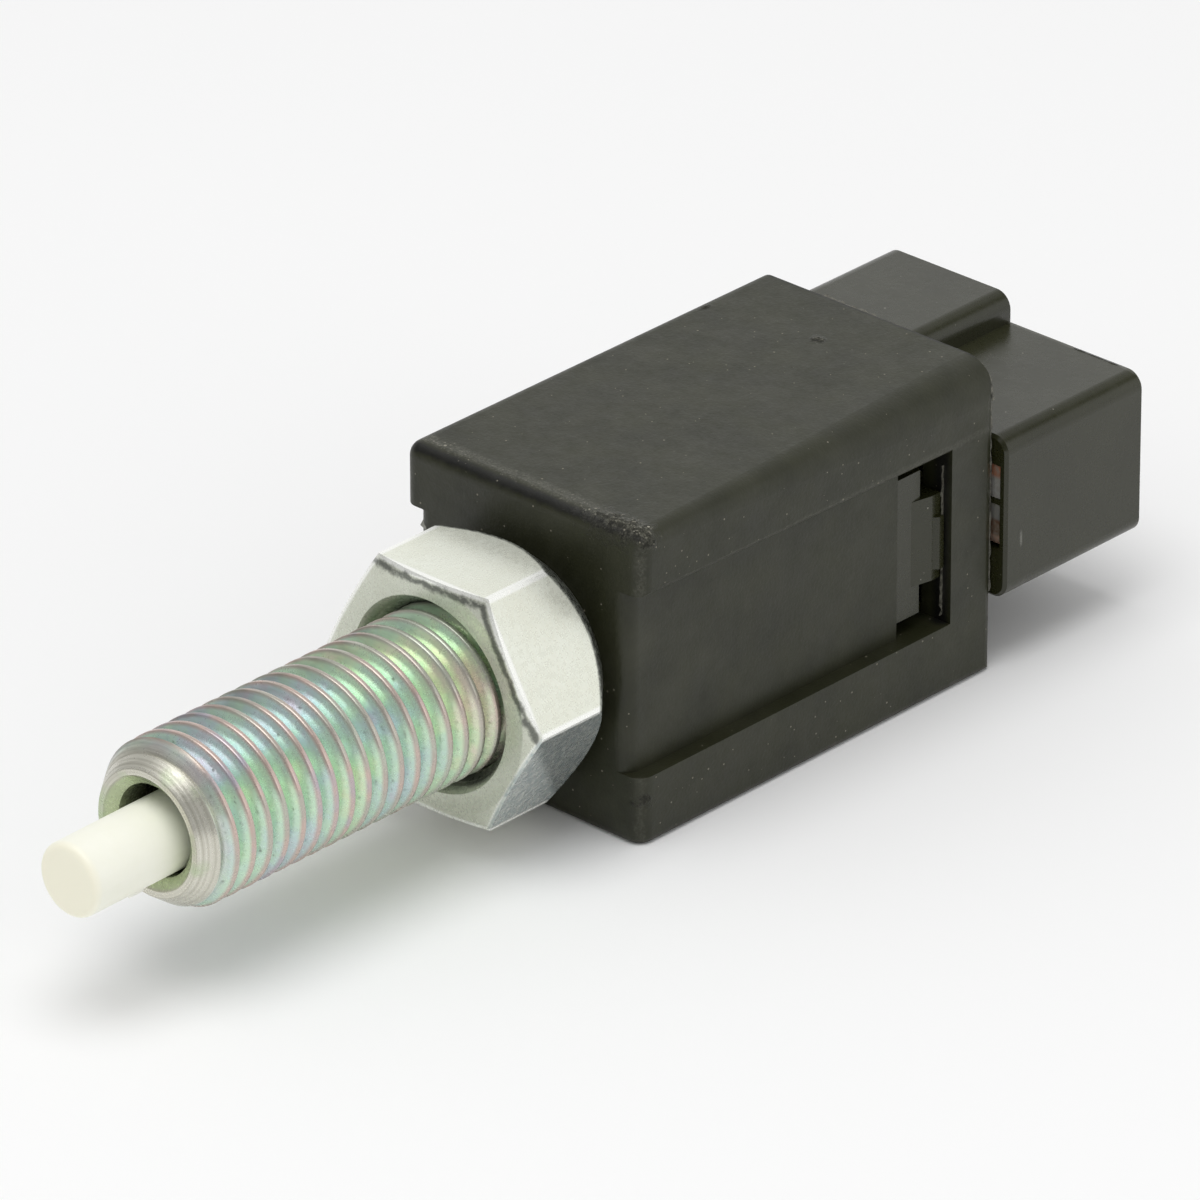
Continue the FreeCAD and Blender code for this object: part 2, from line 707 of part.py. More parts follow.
# Terminals
def blade_and_leg(body, sign):
    """The blade that goes back into the socket and the leg that goes forward to the slider."""
    near_edge = "(sizes.blade_pitch / 2 - sizes.blade_width / 2)"
    far_edge = "(sizes.blade_pitch / 2 + sizes.blade_width / 2)"
    left, right = (near_edge, far_edge) if sign > 0 else (f"-{far_edge}", f"-{near_edge}")
    blade = new_sketch(body, "blade_outline", "XY_Plane", BLADE_BOTTOM)
    blade_end = f"{BASE_REAR} - sizes.blade_tip_gap"
    add_box(blade, left, right, PLATE_FRONT, blade_end)
    extrude(body, "Pad", "blade", blade, "sizes.sheet_thickness")
    near_leg = "(sizes.leg_pitch / 2 - sizes.leg_width / 2)"
    far_leg = "(sizes.leg_pitch / 2 + sizes.leg_width / 2)"
    left, right = (near_leg, far_leg) if sign > 0 else (f"-{far_leg}", f"-{near_leg}")
    leg = new_sketch(body, "leg_outline", "XY_Plane", LEG_BOTTOM)
    add_box(leg, left, right, "sizes.leg_front", PLATE_REAR)
    extrude(body, "Pad", "leg", leg, "sizes.sheet_thickness")

    def at_blade_tip(one, two):
        return near(one.y, blade_end) and near(two.y, blade_end)

    dress(body, "Chamfer", "blade_tip", at_blade_tip, "sizes.blade_tip_chamfer")

    def at_blade_fold(one, two):
        low = near(one.z, BLADE_BOTTOM) and near(two.z, BLADE_BOTTOM)
        return low and near(one.y, PLATE_FRONT) and near(two.y, PLATE_FRONT)

    dress(body, "Fillet", "blade_fold", at_blade_fold, "sizes.fold_radius")


def make_terminal_right():
    body = new_body("terminal_right")
    near_edge = "sizes.blade_pitch / 2 - sizes.blade_width / 2"
    block(body, "Pad", "plate", near_edge, STRIP_END, BLADE_BOTTOM, LEG_TOP, PLATE_FRONT, PLATE_REAR)
    blade_and_leg(body, 1)
    return place(body, "terminal_right")


def left_plate_corners(gap):
    """The left terminal's plate, whose strip passes over the right one to the joint's edge."""
    far_edge = f"(sizes.blade_pitch / 2 + sizes.blade_width / 2 + {gap})"
    inner = f"-(sizes.plate_inner_reach - {gap})"
    riser = f"-(sizes.plate_inner_reach + sizes.riser_width + {gap})"
    end = f"{STRIP_END} + {gap}"
    return [
        (f"-{far_edge}", f"-(sizes.plate_bottom + {gap})"),
        (inner, f"-(sizes.plate_bottom + {gap})"),
        (inner, f"sizes.strip_bottom - {gap}"),
        (end, f"sizes.strip_bottom - {gap}"),
        (end, f"sizes.strip_top + {gap}"),
        (riser, f"sizes.strip_top + {gap}"),
        (riser, f"sizes.plate_top + {gap}"),
        (f"-{far_edge}", f"sizes.plate_top + {gap}"),
    ]


def make_terminal_left():
    body = new_body("terminal_left")
    plate = new_sketch(body, "plate_outline", "XZ_Plane", f"-({PLATE_FRONT})")
    add_loop(plate, left_plate_corners("0"))
    extrude(body, "Pad", "plate", plate, "sizes.sheet_thickness", backwards=True)
    blade_and_leg(body, -1)
    return place(body, "terminal_left")


# Connector base
def make_connector_base():
    body = new_body("connector_base")
    plug_side = f"({CAVITY_SIDE} - sizes.plug_clearance)"
    plug_bottom = f"{CAVITY_BOTTOM} + sizes.plug_clearance"
    plug_top = f"{CAVITY_TOP} - sizes.plug_clearance"
    block(body, "Pad", "plug", f"-{plug_side}", plug_side, plug_bottom, plug_top,
          PLUG_FRONT, BASE_FRONT)

    half = "sizes.shroud_width / 2"
    shroud = new_sketch(body, "shroud_outline", "XZ_Plane", f"-({BASE_FRONT})")
    add_loop(
        shroud,
        [
            (f"-{half}", "-sizes.shroud_bottom"),
            (half, "-sizes.shroud_bottom"),
            (half, "sizes.shroud_top"),
            ("-sizes.shroud_key_edge", "sizes.shroud_top"),
            ("-sizes.shroud_key_edge", "sizes.shroud_key_top"),
            (f"-{half}", "sizes.shroud_key_top"),
        ],
    )
    extrude(body, "Pad", "shroud", shroud, "sizes.shroud_length", backwards=True)

    def on_shroud_edge(one, two):
        lengthwise = near(one.x - two.x, "0") and near(one.z - two.z, "0")
        whole = near(min(one.y, two.y), BASE_FRONT) and near(max(one.y, two.y), BASE_REAR)
        side = near(abs(one.x), half)
        key_edge = near(one.x, "-sizes.shroud_key_edge") and near(one.z, "sizes.shroud_key_top")
        return lengthwise and whole and (side or key_edge)

    dress(body, "Fillet", "shroud_edges", on_shroud_edge, "sizes.shroud_edge_radius")

    def at_joint(one, two):
        upright = near(one.x - two.x, "0") and near(abs(one.x), half)
        return upright and near(one.y, BASE_FRONT) and near(two.y, BASE_FRONT)

    dress(body, "Chamfer", "shroud_front_edges", at_joint, "sizes.shroud_front_chamfer")

    inner_side = "(sizes.shroud_width / 2 - sizes.shroud_wall)"
    key_side = "-(sizes.shroud_key_edge + sizes.shroud_wall)"
    low = "-(sizes.shroud_bottom - sizes.shroud_wall)"
    socket = new_sketch(body, "socket_outline", "XZ_Plane", f"-({SOCKET_FLOOR})")
    add_loop(
        socket,
        [
            (f"-{inner_side}", low),
            (inner_side, low),
            (inner_side, "sizes.shroud_top - sizes.shroud_wall"),
            (key_side, "sizes.shroud_top - sizes.shroud_wall"),
            (key_side, "sizes.shroud_key_top - sizes.shroud_wall"),
            (f"-{inner_side}", "sizes.shroud_key_top - sizes.shroud_wall"),
        ],
    )
    extrude(body, "Pocket", "socket", socket, "sizes.shroud_length - sizes.shroud_floor")

    def on_socket_corner(one, two):
        lengthwise = near(one.x - two.x, "0") and near(one.z - two.z, "0")
        whole = near(min(one.y, two.y), SOCKET_FLOOR) and near(max(one.y, two.y), BASE_REAR)
        return lengthwise and whole and near(abs(one.x), inner_side)

    dress(body, "Fillet", "socket_corners", on_socket_corner, "sizes.socket_corner_radius")

    # A catch for the mating plug, sunk into the roof of the key channel
    lock_middle = f"({key_side} - {inner_side}) / 2"
    lock_front = f"{SOCKET_FLOOR} + sizes.lock_setback"
    roof = "sizes.shroud_key_top - sizes.shroud_wall"
    block(body, "Pocket", "lock_recess", f"{lock_middle} - sizes.lock_width / 2",
          f"{lock_middle} + sizes.lock_width / 2", f"{roof} - sizes.lock_depth",
          f"{roof} + sizes.lock_depth", lock_front, f"{lock_front} + sizes.lock_length")

    # Slots that the terminals seat in
    gap = "sizes.slot_clearance"
    near_edge = "(sizes.blade_pitch / 2 - sizes.blade_width / 2)"
    far_edge = "(sizes.blade_pitch / 2 + sizes.blade_width / 2)"
    near_leg = "(sizes.leg_pitch / 2 - sizes.leg_width / 2)"
    far_leg = "(sizes.leg_pitch / 2 + sizes.leg_width / 2)"
    plates = new_sketch(body, "plate_slots_outline", "XZ_Plane", f"-({BASE_FRONT})")
    add_box(plates, f"{near_edge} - {gap}", f"{STRIP_END} + {gap}",
            f"-(sizes.plate_bottom + {gap})", f"sizes.plate_top + {gap}")
    add_loop(plates, left_plate_corners(gap))
    extrude(body, "Pocket", "plate_slots", plates, "sizes.sheet_thickness + 2 * sizes.slot_clearance")
    slots_rear = f"{PLATE_REAR} + {gap}"
    blades = new_sketch(body, "blade_slots_outline", "XZ_Plane", f"-({slots_rear})")
    legs = new_sketch(body, "leg_slots_outline", "XZ_Plane", f"-({PLUG_FRONT})")
    for sign in ("", "-"):
        first, last = (near_edge, far_edge) if sign == "" else (far_edge, near_edge)
        add_box(blades, f"{sign}{first} - {gap}", f"{sign}{last} + {gap}",
                f"{BLADE_BOTTOM} - {gap}", f"{BLADE_BOTTOM} + sizes.sheet_thickness + {gap}")
        first, last = (near_leg, far_leg) if sign == "" else (far_leg, near_leg)
        add_box(legs, f"{sign}{first} - {gap}", f"{sign}{last} + {gap}",
                f"{LEG_BOTTOM} - {gap}", f"{LEG_TOP} + {gap}")
    extrude(body, "Pocket", "blade_slots", blades, f"{SOCKET_FLOOR} - ({slots_rear})")
    extrude(body, "Pocket", "leg_slots", legs, "sizes.plug_length")

    # Latches in open bays at both sides of the plug, and cored pockets above and below
    bay_inner = f"({plug_side} - sizes.bay_width)"
    arm_inner = f"({plug_side} - sizes.latch_arm_thickness)"
    web_front = f"{BASE_FRONT} - sizes.bay_web"
    pad_front = f"{RECESS_REAR} - sizes.window_length + sizes.slot_clearance"
    pad_face = f"({RECESS_SIDE} - sizes.slot_clearance)"
    hook_rear = f"{RECESS_REAR} - sizes.seat_gap"
    inside_arm = f"({plug_side} - sizes.latch_arm_thickness / 2)"
    for side, sign in (("right", ""), ("left", "-")):
        beyond = f"({plug_side} + sizes.plug_clearance)"
        inner, outer = (bay_inner, beyond) if sign == "" else (beyond, bay_inner)
        block(body, "Pocket", f"latch_bay_{side}", f"{sign}{inner}", f"{sign}{outer}",
              "-sizes.bay_bottom", "sizes.bay_top", PLUG_FRONT, web_front)
        inner, outer = (arm_inner, plug_side) if sign == "" else (plug_side, arm_inner)
        block(body, "Pad", f"latch_arm_{side}", f"{sign}{inner}", f"{sign}{outer}",
              "-sizes.latch_arm_bottom", "sizes.latch_arm_top", pad_front, BASE_FRONT)

        # The pad fills the front of the window, and the stepped hook stands behind it
        pad = new_sketch(body, f"latch_pad_{side}_outline", "XY_Plane", "-sizes.latch_pad_bottom")
        pad_rear = f"{pad_front} + sizes.latch_pad_length"
        add_loop(
            pad,
            [
                (f"{sign}{inside_arm}", pad_front),
                (f"{sign}{pad_face}", pad_front),
                (f"{sign}{pad_face}", pad_rear),
                (f"{sign}{inside_arm}", f"{pad_rear} + sizes.latch_pad_crown"),
            ],
        )
        extrude(body, "Pad", f"latch_pad_{side}", pad, "sizes.latch_pad_bottom + sizes.latch_pad_top")
        for part in ("step", "nose"):
            size = f"sizes.latch_{part}"
            hook = new_sketch(body, f"latch_{part}_{side}_outline", "XY_Plane", f"-{size}_bottom")
            crest = f"({RECESS_SIDE} + {size}_height)"
            start = f"{hook_rear} - {size}_length"
            add_loop(
                hook,
                [
                    (f"{sign}{inside_arm}", start),
                    (f"{sign}{pad_face}", start),
                    (f"{sign}{crest}", f"{start} + {size}_ramp"),
                    (f"{sign}{crest}", hook_rear),
                    (f"{sign}{inside_arm}", hook_rear),
                ],
            )
            extrude(body, "Pad", f"latch_{part}_{side}", hook, f"{size}_bottom + {size}_top")
    core_half = "sizes.core_width / 2"
    core_rear = f"{PLUG_FRONT} + sizes.core_depth"
    block(body, "Pocket", "upper_core", f"-{core_half}", core_half,
          "sizes.bay_top + sizes.core_gap", f"{plug_top} - sizes.core_gap", PLUG_FRONT, core_rear)
    block(body, "Pocket", "lower_core", f"-{core_half}", core_half,
          f"{plug_bottom} + sizes.core_gap", "-(sizes.bay_bottom + sizes.core_gap)",
          PLUG_FRONT, core_rear)
    return place(body, "connector_base")


make_case()
make_threaded_sleeve()
make_lock_nut()
make_plunger()
make_contact_slider()
make_contact_bridge()
make_return_spring()
make_contact_spring()
make_terminal_right()
make_terminal_left()
make_connector_base()

doc.recompute()
for item in doc.Objects:
    if "Invalid" in item.State or "Error" in item.State:
        raise RuntimeError(f"{item.Label} failed: {item.State}")
for piece in pieces:
    if piece.Shape.isNull() or not piece.Shape.isValid() or not piece.Shape.Solids:
        raise RuntimeError(f"{piece.Label} has no valid solid")

os.makedirs("parts", exist_ok=True)
for piece in pieces:
    piece.Shape.exportStep(f"parts/{piece.Label}.step")
    box = piece.Shape.BoundBox
    corners = (box.XMin, box.XMax, box.YMin, box.YMax, box.ZMin, box.ZMax)
    places = " ".join(f"{value:.2f}" for value in corners)
    print(f"{piece.Label}: {piece.Shape.Volume:.1f} cubic mm, box {places}")
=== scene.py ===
import math

import bpy
from mathutils import Matrix, Vector


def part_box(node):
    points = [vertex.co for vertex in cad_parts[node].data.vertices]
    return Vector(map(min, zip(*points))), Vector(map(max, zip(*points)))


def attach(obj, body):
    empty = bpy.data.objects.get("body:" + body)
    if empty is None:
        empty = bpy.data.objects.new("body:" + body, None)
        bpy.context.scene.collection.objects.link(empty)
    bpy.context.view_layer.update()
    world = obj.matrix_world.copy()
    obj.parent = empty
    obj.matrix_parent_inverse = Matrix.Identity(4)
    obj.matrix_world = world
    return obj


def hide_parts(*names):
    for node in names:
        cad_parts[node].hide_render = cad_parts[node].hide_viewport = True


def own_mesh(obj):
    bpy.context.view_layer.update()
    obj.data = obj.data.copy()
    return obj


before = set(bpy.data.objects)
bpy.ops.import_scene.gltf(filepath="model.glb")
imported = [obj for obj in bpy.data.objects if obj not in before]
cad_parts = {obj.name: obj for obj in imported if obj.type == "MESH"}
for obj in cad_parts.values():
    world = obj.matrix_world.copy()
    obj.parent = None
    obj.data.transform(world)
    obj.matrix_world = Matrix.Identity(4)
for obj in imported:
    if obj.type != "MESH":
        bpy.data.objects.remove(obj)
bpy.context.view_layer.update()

bl_info = {
    "name": "Clutch switch",
    "version": (1, 0, 0),
    "blender": (4, 5, 0),
    "location": "View3D > Sidebar > Switch",
    "description": "Builds the looks of a clutch switch around its packed model",
    "category": "Object",
}

# Lengths are millimetres, brought to Blender's metres by this factor
MM = 0.001
MERGE_DISTANCE = 0.0005 * MM
FLANK_ANGLE = math.radians(30)

CASE_LOW, CASE_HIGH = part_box("case")
BASE_LOW, BASE_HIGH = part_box("connector_base")
SLEEVE_LOW, SLEEVE_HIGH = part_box("threaded_sleeve")
NUT_LOW, NUT_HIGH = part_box("lock_nut")

# The barrel axis runs along Y at the middle of the nut, and the case's front face is the datum
AXIS_HEIGHT = (NUT_LOW.z + NUT_HIGH.z) / 2
CASE_FRONT = CASE_LOW.y
BARREL_LENGTH = CASE_FRONT - SLEEVE_LOW.y
SLEEVE_TAIL = SLEEVE_HIGH.y - CASE_FRONT
CASE_HALF_WIDTH = CASE_HIGH.x


def on_axis(along):
    """A point on the barrel axis, a distance in metres behind the case's front face."""
    return Vector((0, CASE_FRONT + along, AXIS_HEIGHT))


class BarrelSettings(bpy.types.PropertyGroup):
    pitch: bpy.props.FloatProperty(
        name="Pitch", description="Advance of the thread for one turn",
        default=1.25 * MM, subtype="DISTANCE", unit="LENGTH", precision=5)
    crest_radius: bpy.props.FloatProperty(
        name="Crest radius", description="Radius of the thread over its crests",
        default=4.85 * MM, subtype="DISTANCE", unit="LENGTH", precision=5)
    root_radius: bpy.props.FloatProperty(
        name="Root radius", description="Radius of the thread at the bottom of its grooves",
        default=4.12 * MM, subtype="DISTANCE", unit="LENGTH", precision=5)
    crest_width: bpy.props.FloatProperty(
        name="Crest width", description="Width of the thread's rounded crest along the barrel",
        default=0.26 * MM, subtype="DISTANCE", unit="LENGTH", precision=5)
    end_radius: bpy.props.FloatProperty(
        name="End radius", description="Outer radius of the ring at the barrel's mouth",
        default=3.73 * MM, subtype="DISTANCE", unit="LENGTH", precision=5)
    chamfer_length: bpy.props.FloatProperty(
        name="Chamfer length", description="Length of the turned taper ahead of the thread",
        default=1.65 * MM, subtype="DISTANCE", unit="LENGTH", precision=5)
    mouth_radius: bpy.props.FloatProperty(
        name="Mouth radius", description="Inner radius of the ring at the barrel's mouth",
        default=3.2 * MM, subtype="DISTANCE", unit="LENGTH", precision=5)
    bore_radius: bpy.props.FloatProperty(
        name="Bore radius", description="Radius of the bore that the plunger stands in",
        default=2.65 * MM, subtype="DISTANCE", unit="LENGTH", precision=5)
    mouth_ease: bpy.props.FloatProperty(
        name="Mouth ease", description="How far both edges of the ring at the mouth are broken",
        default=0.1 * MM, subtype="DISTANCE", unit="LENGTH", precision=5)
    steps: bpy.props.IntProperty(
        name="Steps", description="Faces round one turn of the thread", default=96, min=24)


class NutSettings(bpy.types.PropertyGroup):
    width: bpy.props.FloatProperty(
        name="Width", description="Width of the nut across its flats",
        default=14.0 * MM, subtype="DISTANCE", unit="LENGTH", precision=5)
    front_face_radius: bpy.props.FloatProperty(
        name="Front face radius", description="Radius where the front chamfer meets the front face",
        default=6.9 * MM, subtype="DISTANCE", unit="LENGTH", precision=5)
    front_chamfer: bpy.props.FloatProperty(
        name="Front chamfer", description="Depth of the front chamfer at the nut's corners",
        default=0.45 * MM, subtype="DISTANCE", unit="LENGTH", precision=5)
    rear_face_radius: bpy.props.FloatProperty(
        name="Rear face radius", description="Radius where the rear chamfer meets the rear face",
        default=6.05 * MM, subtype="DISTANCE", unit="LENGTH", precision=5)
    rear_chamfer: bpy.props.FloatProperty(
        name="Rear chamfer", description="Depth of the rear chamfer at the nut's corners",
        default=2.3 * MM, subtype="DISTANCE", unit="LENGTH", precision=5)
    countersink: bpy.props.FloatProperty(
        name="Countersink", description="How far the bore opens out at both faces",
        default=0.8 * MM, subtype="DISTANCE", unit="LENGTH", precision=5)
    bore_clearance: bpy.props.FloatProperty(
        name="Bore clearance", description="Play between the nut's bore and the barrel's crests",
        default=0.05 * MM, subtype="DISTANCE", unit="LENGTH", precision=6)
    edge_width: bpy.props.FloatProperty(
        name="Edge width", description="Width of the broken edges",
        default=0.26 * MM, subtype="DISTANCE", unit="LENGTH", precision=5)


class SpringSettings(bpy.types.PropertyGroup):
    return_wire: bpy.props.FloatProperty(
        name="Return wire", description="Wire diameter of the spring behind the slider",
        default=0.45 * MM, subtype="DISTANCE", unit="LENGTH", precision=5)
    return_turns: bpy.props.IntProperty(
        name="Return turns", description="Turns of the spring behind the slider", default=7, min=2)
    contact_wire: bpy.props.FloatProperty(
        name="Contact wire", description="Wire diameter of the spring on the contact bridge",
        default=0.3 * MM, subtype="DISTANCE", unit="LENGTH", precision=5)
    contact_turns: bpy.props.IntProperty(
        name="Contact turns", description="Turns of the spring on the contact bridge", default=4, min=2)
    plunger_travel: bpy.props.FloatProperty(
        name="Plunger travel", description="How far the plunger goes in and shortens its spring",
        default=5.0 * MM, subtype="DISTANCE", unit="LENGTH", precision=5)


class StageSettings(bpy.types.PropertyGroup):
    azimuth: bpy.props.FloatProperty(
        name="Azimuth", description="How far the camera stands round from the plunger's end",
        default=math.radians(42.849), subtype="ANGLE", unit="ROTATION")
    elevation: bpy.props.FloatProperty(
        name="Elevation", description="How far the camera stands above the horizon",
        default=math.radians(27.108), subtype="ANGLE", unit="ROTATION")
    roll: bpy.props.FloatProperty(
        name="Roll", description="Turn of the camera about its own line of sight",
        default=math.radians(0.116), subtype="ANGLE", unit="ROTATION")
    distance: bpy.props.FloatProperty(
        name="Distance", description="From the camera's plane to the datum on the barrel axis",
        default=656.93 * MM, subtype="DISTANCE", unit="LENGTH")
    photo_size: bpy.props.FloatProperty(
        name="Photo size", description="Side of the square photograph in pixels", default=1200)
    focal_pixels: bpy.props.FloatProperty(
        name="Focal length", description="Focal length in pixels of the photograph", default=12155.9)
    datum_across: bpy.props.FloatProperty(
        name="Datum across", description="Photograph column of the datum on the barrel axis",
        default=521.63)
    datum_down: bpy.props.FloatProperty(
        name="Datum down", description="Photograph row of the datum on the barrel axis",
        default=648.79)


# Modelling helpers
def pick(piece):
    """Select one object alone and make it the active one."""
    bpy.ops.object.select_all(action="DESELECT")
    piece.hide_set(False)
    piece.select_set(True)
    bpy.context.view_layer.objects.active = piece
    return piece


def edit_all(piece):
    """Open a piece for editing with the whole of it selected."""
    pick(piece)
    bpy.ops.object.mode_set(mode="EDIT")
    bpy.ops.mesh.select_all(action="SELECT")


def settle(piece):
    """Bring a finished piece's place into its mesh, so that its object sits at the origin."""
    pick(piece)
    bpy.ops.object.transform_apply(location=True, rotation=True, scale=True)
    return piece


def apply_modifier(piece, kind, **values):
    pick(piece)
    modifier = piece.modifiers.new(kind.title(), kind)
    for key, value in values.items():
        setattr(modifier, key, value)
    bpy.ops.object.modifier_apply(modifier=modifier.name)
    return piece


def draw_profile(name, points, closed):
    """A line in the XY plane through points given as (radius, distance along the barrel)."""
    first = points[0]
    bpy.ops.mesh.primitive_plane_add(size=MM, location=on_axis(0))
    line = bpy.context.active_object
    line.name = name
    edit_all(line)
    bpy.ops.mesh.merge(type="CENTER")
    bpy.ops.transform.translate(value=(first[0], first[1], 0))
    for before, after in zip(points, points[1:]):
        step = (after[0] - before[0], after[1] - before[1], 0)
        bpy.ops.mesh.extrude_region_move(TRANSFORM_OT_translate={"value": step})
    if closed:
        last = points[-1]
        step = (first[0] - last[0], first[1] - last[1], 0)
        bpy.ops.mesh.extrude_region_move(TRANSFORM_OT_translate={"value": step})
        bpy.ops.mesh.select_all(action="SELECT")
        bpy.ops.mesh.remove_doubles(threshold=0.001 * MM)
    bpy.ops.object.mode_set(mode="OBJECT")
    return line


def lathe(name, points, steps, closed=True):
    """A profile turned about the barrel axis. A closed profile makes a tube."""
    piece = draw_profile(name, points, closed)
    apply_modifier(
        piece, "SCREW", axis="Y", angle=math.tau, steps=steps, render_steps=steps,
        use_merge_vertices=True, merge_threshold=MERGE_DISTANCE, use_normal_calculate=True,
    )
    return tidy_normals(piece)


def tidy_normals(piece):
    edit_all(piece)
    bpy.ops.mesh.remove_doubles(threshold=MERGE_DISTANCE)
    bpy.ops.mesh.normals_make_consistent(inside=False)
    bpy.ops.object.mode_set(mode="OBJECT")
    return piece


def slice_off(piece, along, keep_behind):
    """Cut a piece square across the barrel axis and close the cut."""
    edit_all(piece)
    bpy.ops.mesh.bisect(
        plane_co=on_axis(along), plane_no=(0, 1, 0), use_fill=True,
        clear_inner=keep_behind, clear_outer=not keep_behind,
    )
    bpy.ops.object.mode_set(mode="OBJECT")
    return piece


def combine(piece, other, operation):
    """A boolean of two closed pieces, after which the second is gone."""
    apply_modifier(piece, "BOOLEAN", operation=operation, object=other, solver="EXACT")
    bpy.data.objects.remove(other)
    return piece


def smooth(piece, degrees):
    pick(piece)
    bpy.ops.object.shade_smooth_by_angle(angle=math.radians(degrees))
    return piece


def thread_core(name, settings, start, end):
    """A solid screw with the barrel's thread."""
    pitch = settings.pitch
    crest = settings.crest_radius
    root = settings.root_radius
    half_crest = settings.crest_width / 2
    flank = (crest - root) * math.tan(FLANK_ANGLE)
    ease = 0.2 * half_crest
    first_turn = math.floor((start - pitch) / pitch) * pitch
    profile = [
        (root, 0),
        (root, pitch / 2 - half_crest - flank),
        (crest - ease, pitch / 2 - half_crest - ease / 2),
        (crest, pitch / 2 - half_crest + ease),
        (crest, pitch / 2 + half_crest - ease),
        (crest - ease, pitch / 2 + half_crest + ease / 2),
        (root, pitch / 2 + half_crest + flank),
        (root, pitch),
    ]
    moved = [(radius, first_turn + along) for radius, along in profile]
    core = draw_profile(name, moved, closed=False)
    turns = math.ceil((end - first_turn) / pitch) + 2
    apply_modifier(
        core, "SCREW", axis="Y", angle=math.tau, screw_offset=pitch, iterations=turns,
        steps=settings.steps, render_steps=settings.steps, use_merge_vertices=True,
        merge_threshold=MERGE_DISTANCE, use_normal_calculate=True,
    )
    slice_off(core, start, keep_behind=True)
    slice_off(core, end, keep_behind=False)
    return tidy_normals(core)


# Material helpers
class Nodes:
    """Adds and joins the nodes of one material or node group."""

    def __init__(self, tree):
        self.tree = tree

    def add(self, kind, inputs=None, **settings):
        node = self.tree.nodes.new("ShaderNode" + kind)
        for key, value in settings.items():
            setattr(node, key, value)
        for key, value in (inputs or {}).items():
            self.feed(node.inputs[key], value)
        return node

    def feed(self, socket, value):
        if isinstance(value, bpy.types.NodeSocket):
            self.tree.links.new(value, socket)
        elif isinstance(value, tuple) and len(value) == 3 and socket.type == "RGBA":
            socket.default_value = (*value, 1)
        else:
            socket.default_value = value

    def math(self, operation, *values, clamp=False):
        node = self.add("Math", operation=operation, use_clamp=clamp)
        for index, value in enumerate(values):
            self.feed(node.inputs[index], value)
        return node.outputs[0]

    def times(self, first, second):
        return self.math("MULTIPLY", first, second)

    def most(self, *values):
        """The largest of some values."""
        largest = values[0]
        for value in values[1:]:
            largest = self.math("MAXIMUM", largest, value)
        return largest

    def parts(self, place):
        """How far across, along and up a place is."""
        return self.add("SeparateXYZ", {"Vector": place}).outputs

    def vector(self, operation, *values):
        node = self.add("VectorMath", operation=operation)
        for index, value in enumerate(values):
            self.feed(node.inputs[index], value)
        return node.outputs["Value" if operation == "LENGTH" else "Vector"]

    def band(self, value, low, high, to_low=0.0, to_high=1.0):
        """A value brought from one range to another and held inside it."""
        node = self.add("MapRange", {"Value": value, "From Min": low, "From Max": high,
                                     "To Min": to_low, "To Max": to_high})
        return node.outputs[0]

    def mix(self, factor, first, second, blend="MIX"):
        node = self.add("Mix", data_type="RGBA", blend_type=blend)
        self.feed(node.inputs[0], factor)
        self.feed(node.inputs[6], first)
        self.feed(node.inputs[7], second)
        return node.outputs[2]

    def noise(self, vector, scale, detail=3.0, roughness=0.5):
        node = self.add("TexNoise", {"Vector": vector, "Scale": scale, "Detail": detail,
                                     "Roughness": roughness})
        return node.outputs[0]

    def ramp(self, value, stops):
        node = self.add("ValToRGB", {"Fac": value})
        elements = node.color_ramp.elements
        while len(elements) < len(stops):
            elements.new(0.5)
        for element, (place, colour) in zip(elements, stops):
            element.position = place
            element.color = (*colour, 1)
        return node.outputs[0]

    def effect(self, name, **inputs):
        """One of the shared effects, fed by the names of its inputs."""
        node = self.tree.nodes.new("ShaderNodeGroup")
        node.node_tree = bpy.data.node_groups[name]
        for key, value in inputs.items():
            self.feed(node.inputs[key.capitalize()], value)
        return node.outputs

    def wear(self, place, point, across, width, ragged):
        """Wear about a point, counted along the axes that Across names, in millimetres."""
        return self.effect("wear", place=place, point=point, across=across, width=width,
                           ragged=ragged)["Mask"]

    def dust(self, place, cells, share, size=1.0):
        """Specks of dust: cells to a millimetre, and the share of them that has a speck."""
        return self.effect("dust", place=place, cells=cells, share=share, size=size)["Mask"]


def srgb(red, green, blue):
    """A colour read as 0 to 255 values, as Blender's linear colour."""
    def linear(value):
        value = value / 255
        return value / 12.92 if value <= 0.04045 else ((value + 0.055) / 1.055) ** 2.4
    return (linear(red), linear(green), linear(blue))


def new_material(name):
    material = bpy.data.materials.new(name)
    material.use_nodes = True
    nodes = Nodes(material.node_tree)
    shader = material.node_tree.nodes["Principled BSDF"]
    return material, nodes, shader


def place_in_mm(nodes):
    """Object coordinates in millimetres, measured from the datum on the barrel axis."""
    coordinates = nodes.add("TexCoord").outputs["Object"]
    shift = nodes.vector("ADD", coordinates, tuple(-on_axis(0)))
    return nodes.vector("MULTIPLY", shift, (1 / MM, 1 / MM, 1 / MM))


def about_barrel(nodes, place):
    """The parts of a place, its radius about the barrel, and a place that is the same all round."""
    parts = nodes.parts(place)
    radius = nodes.vector("LENGTH", nodes.vector("MULTIPLY", place, (1, 0, 1)))
    turned = nodes.add("CombineXYZ", {0: radius, 1: parts[1], 2: 0.0}).outputs[0]
    return parts, radius, turned


def spot(across, along, up):
    """A point given in millimetres from the datum on the barrel axis."""
    return on_axis(along * MM) + Vector((across, 0, up)) * MM


def coat(nodes, shader, colour, roughness):
    nodes.feed(shader.inputs["Base Color"], colour)
    nodes.feed(shader.inputs["Roughness"], roughness)


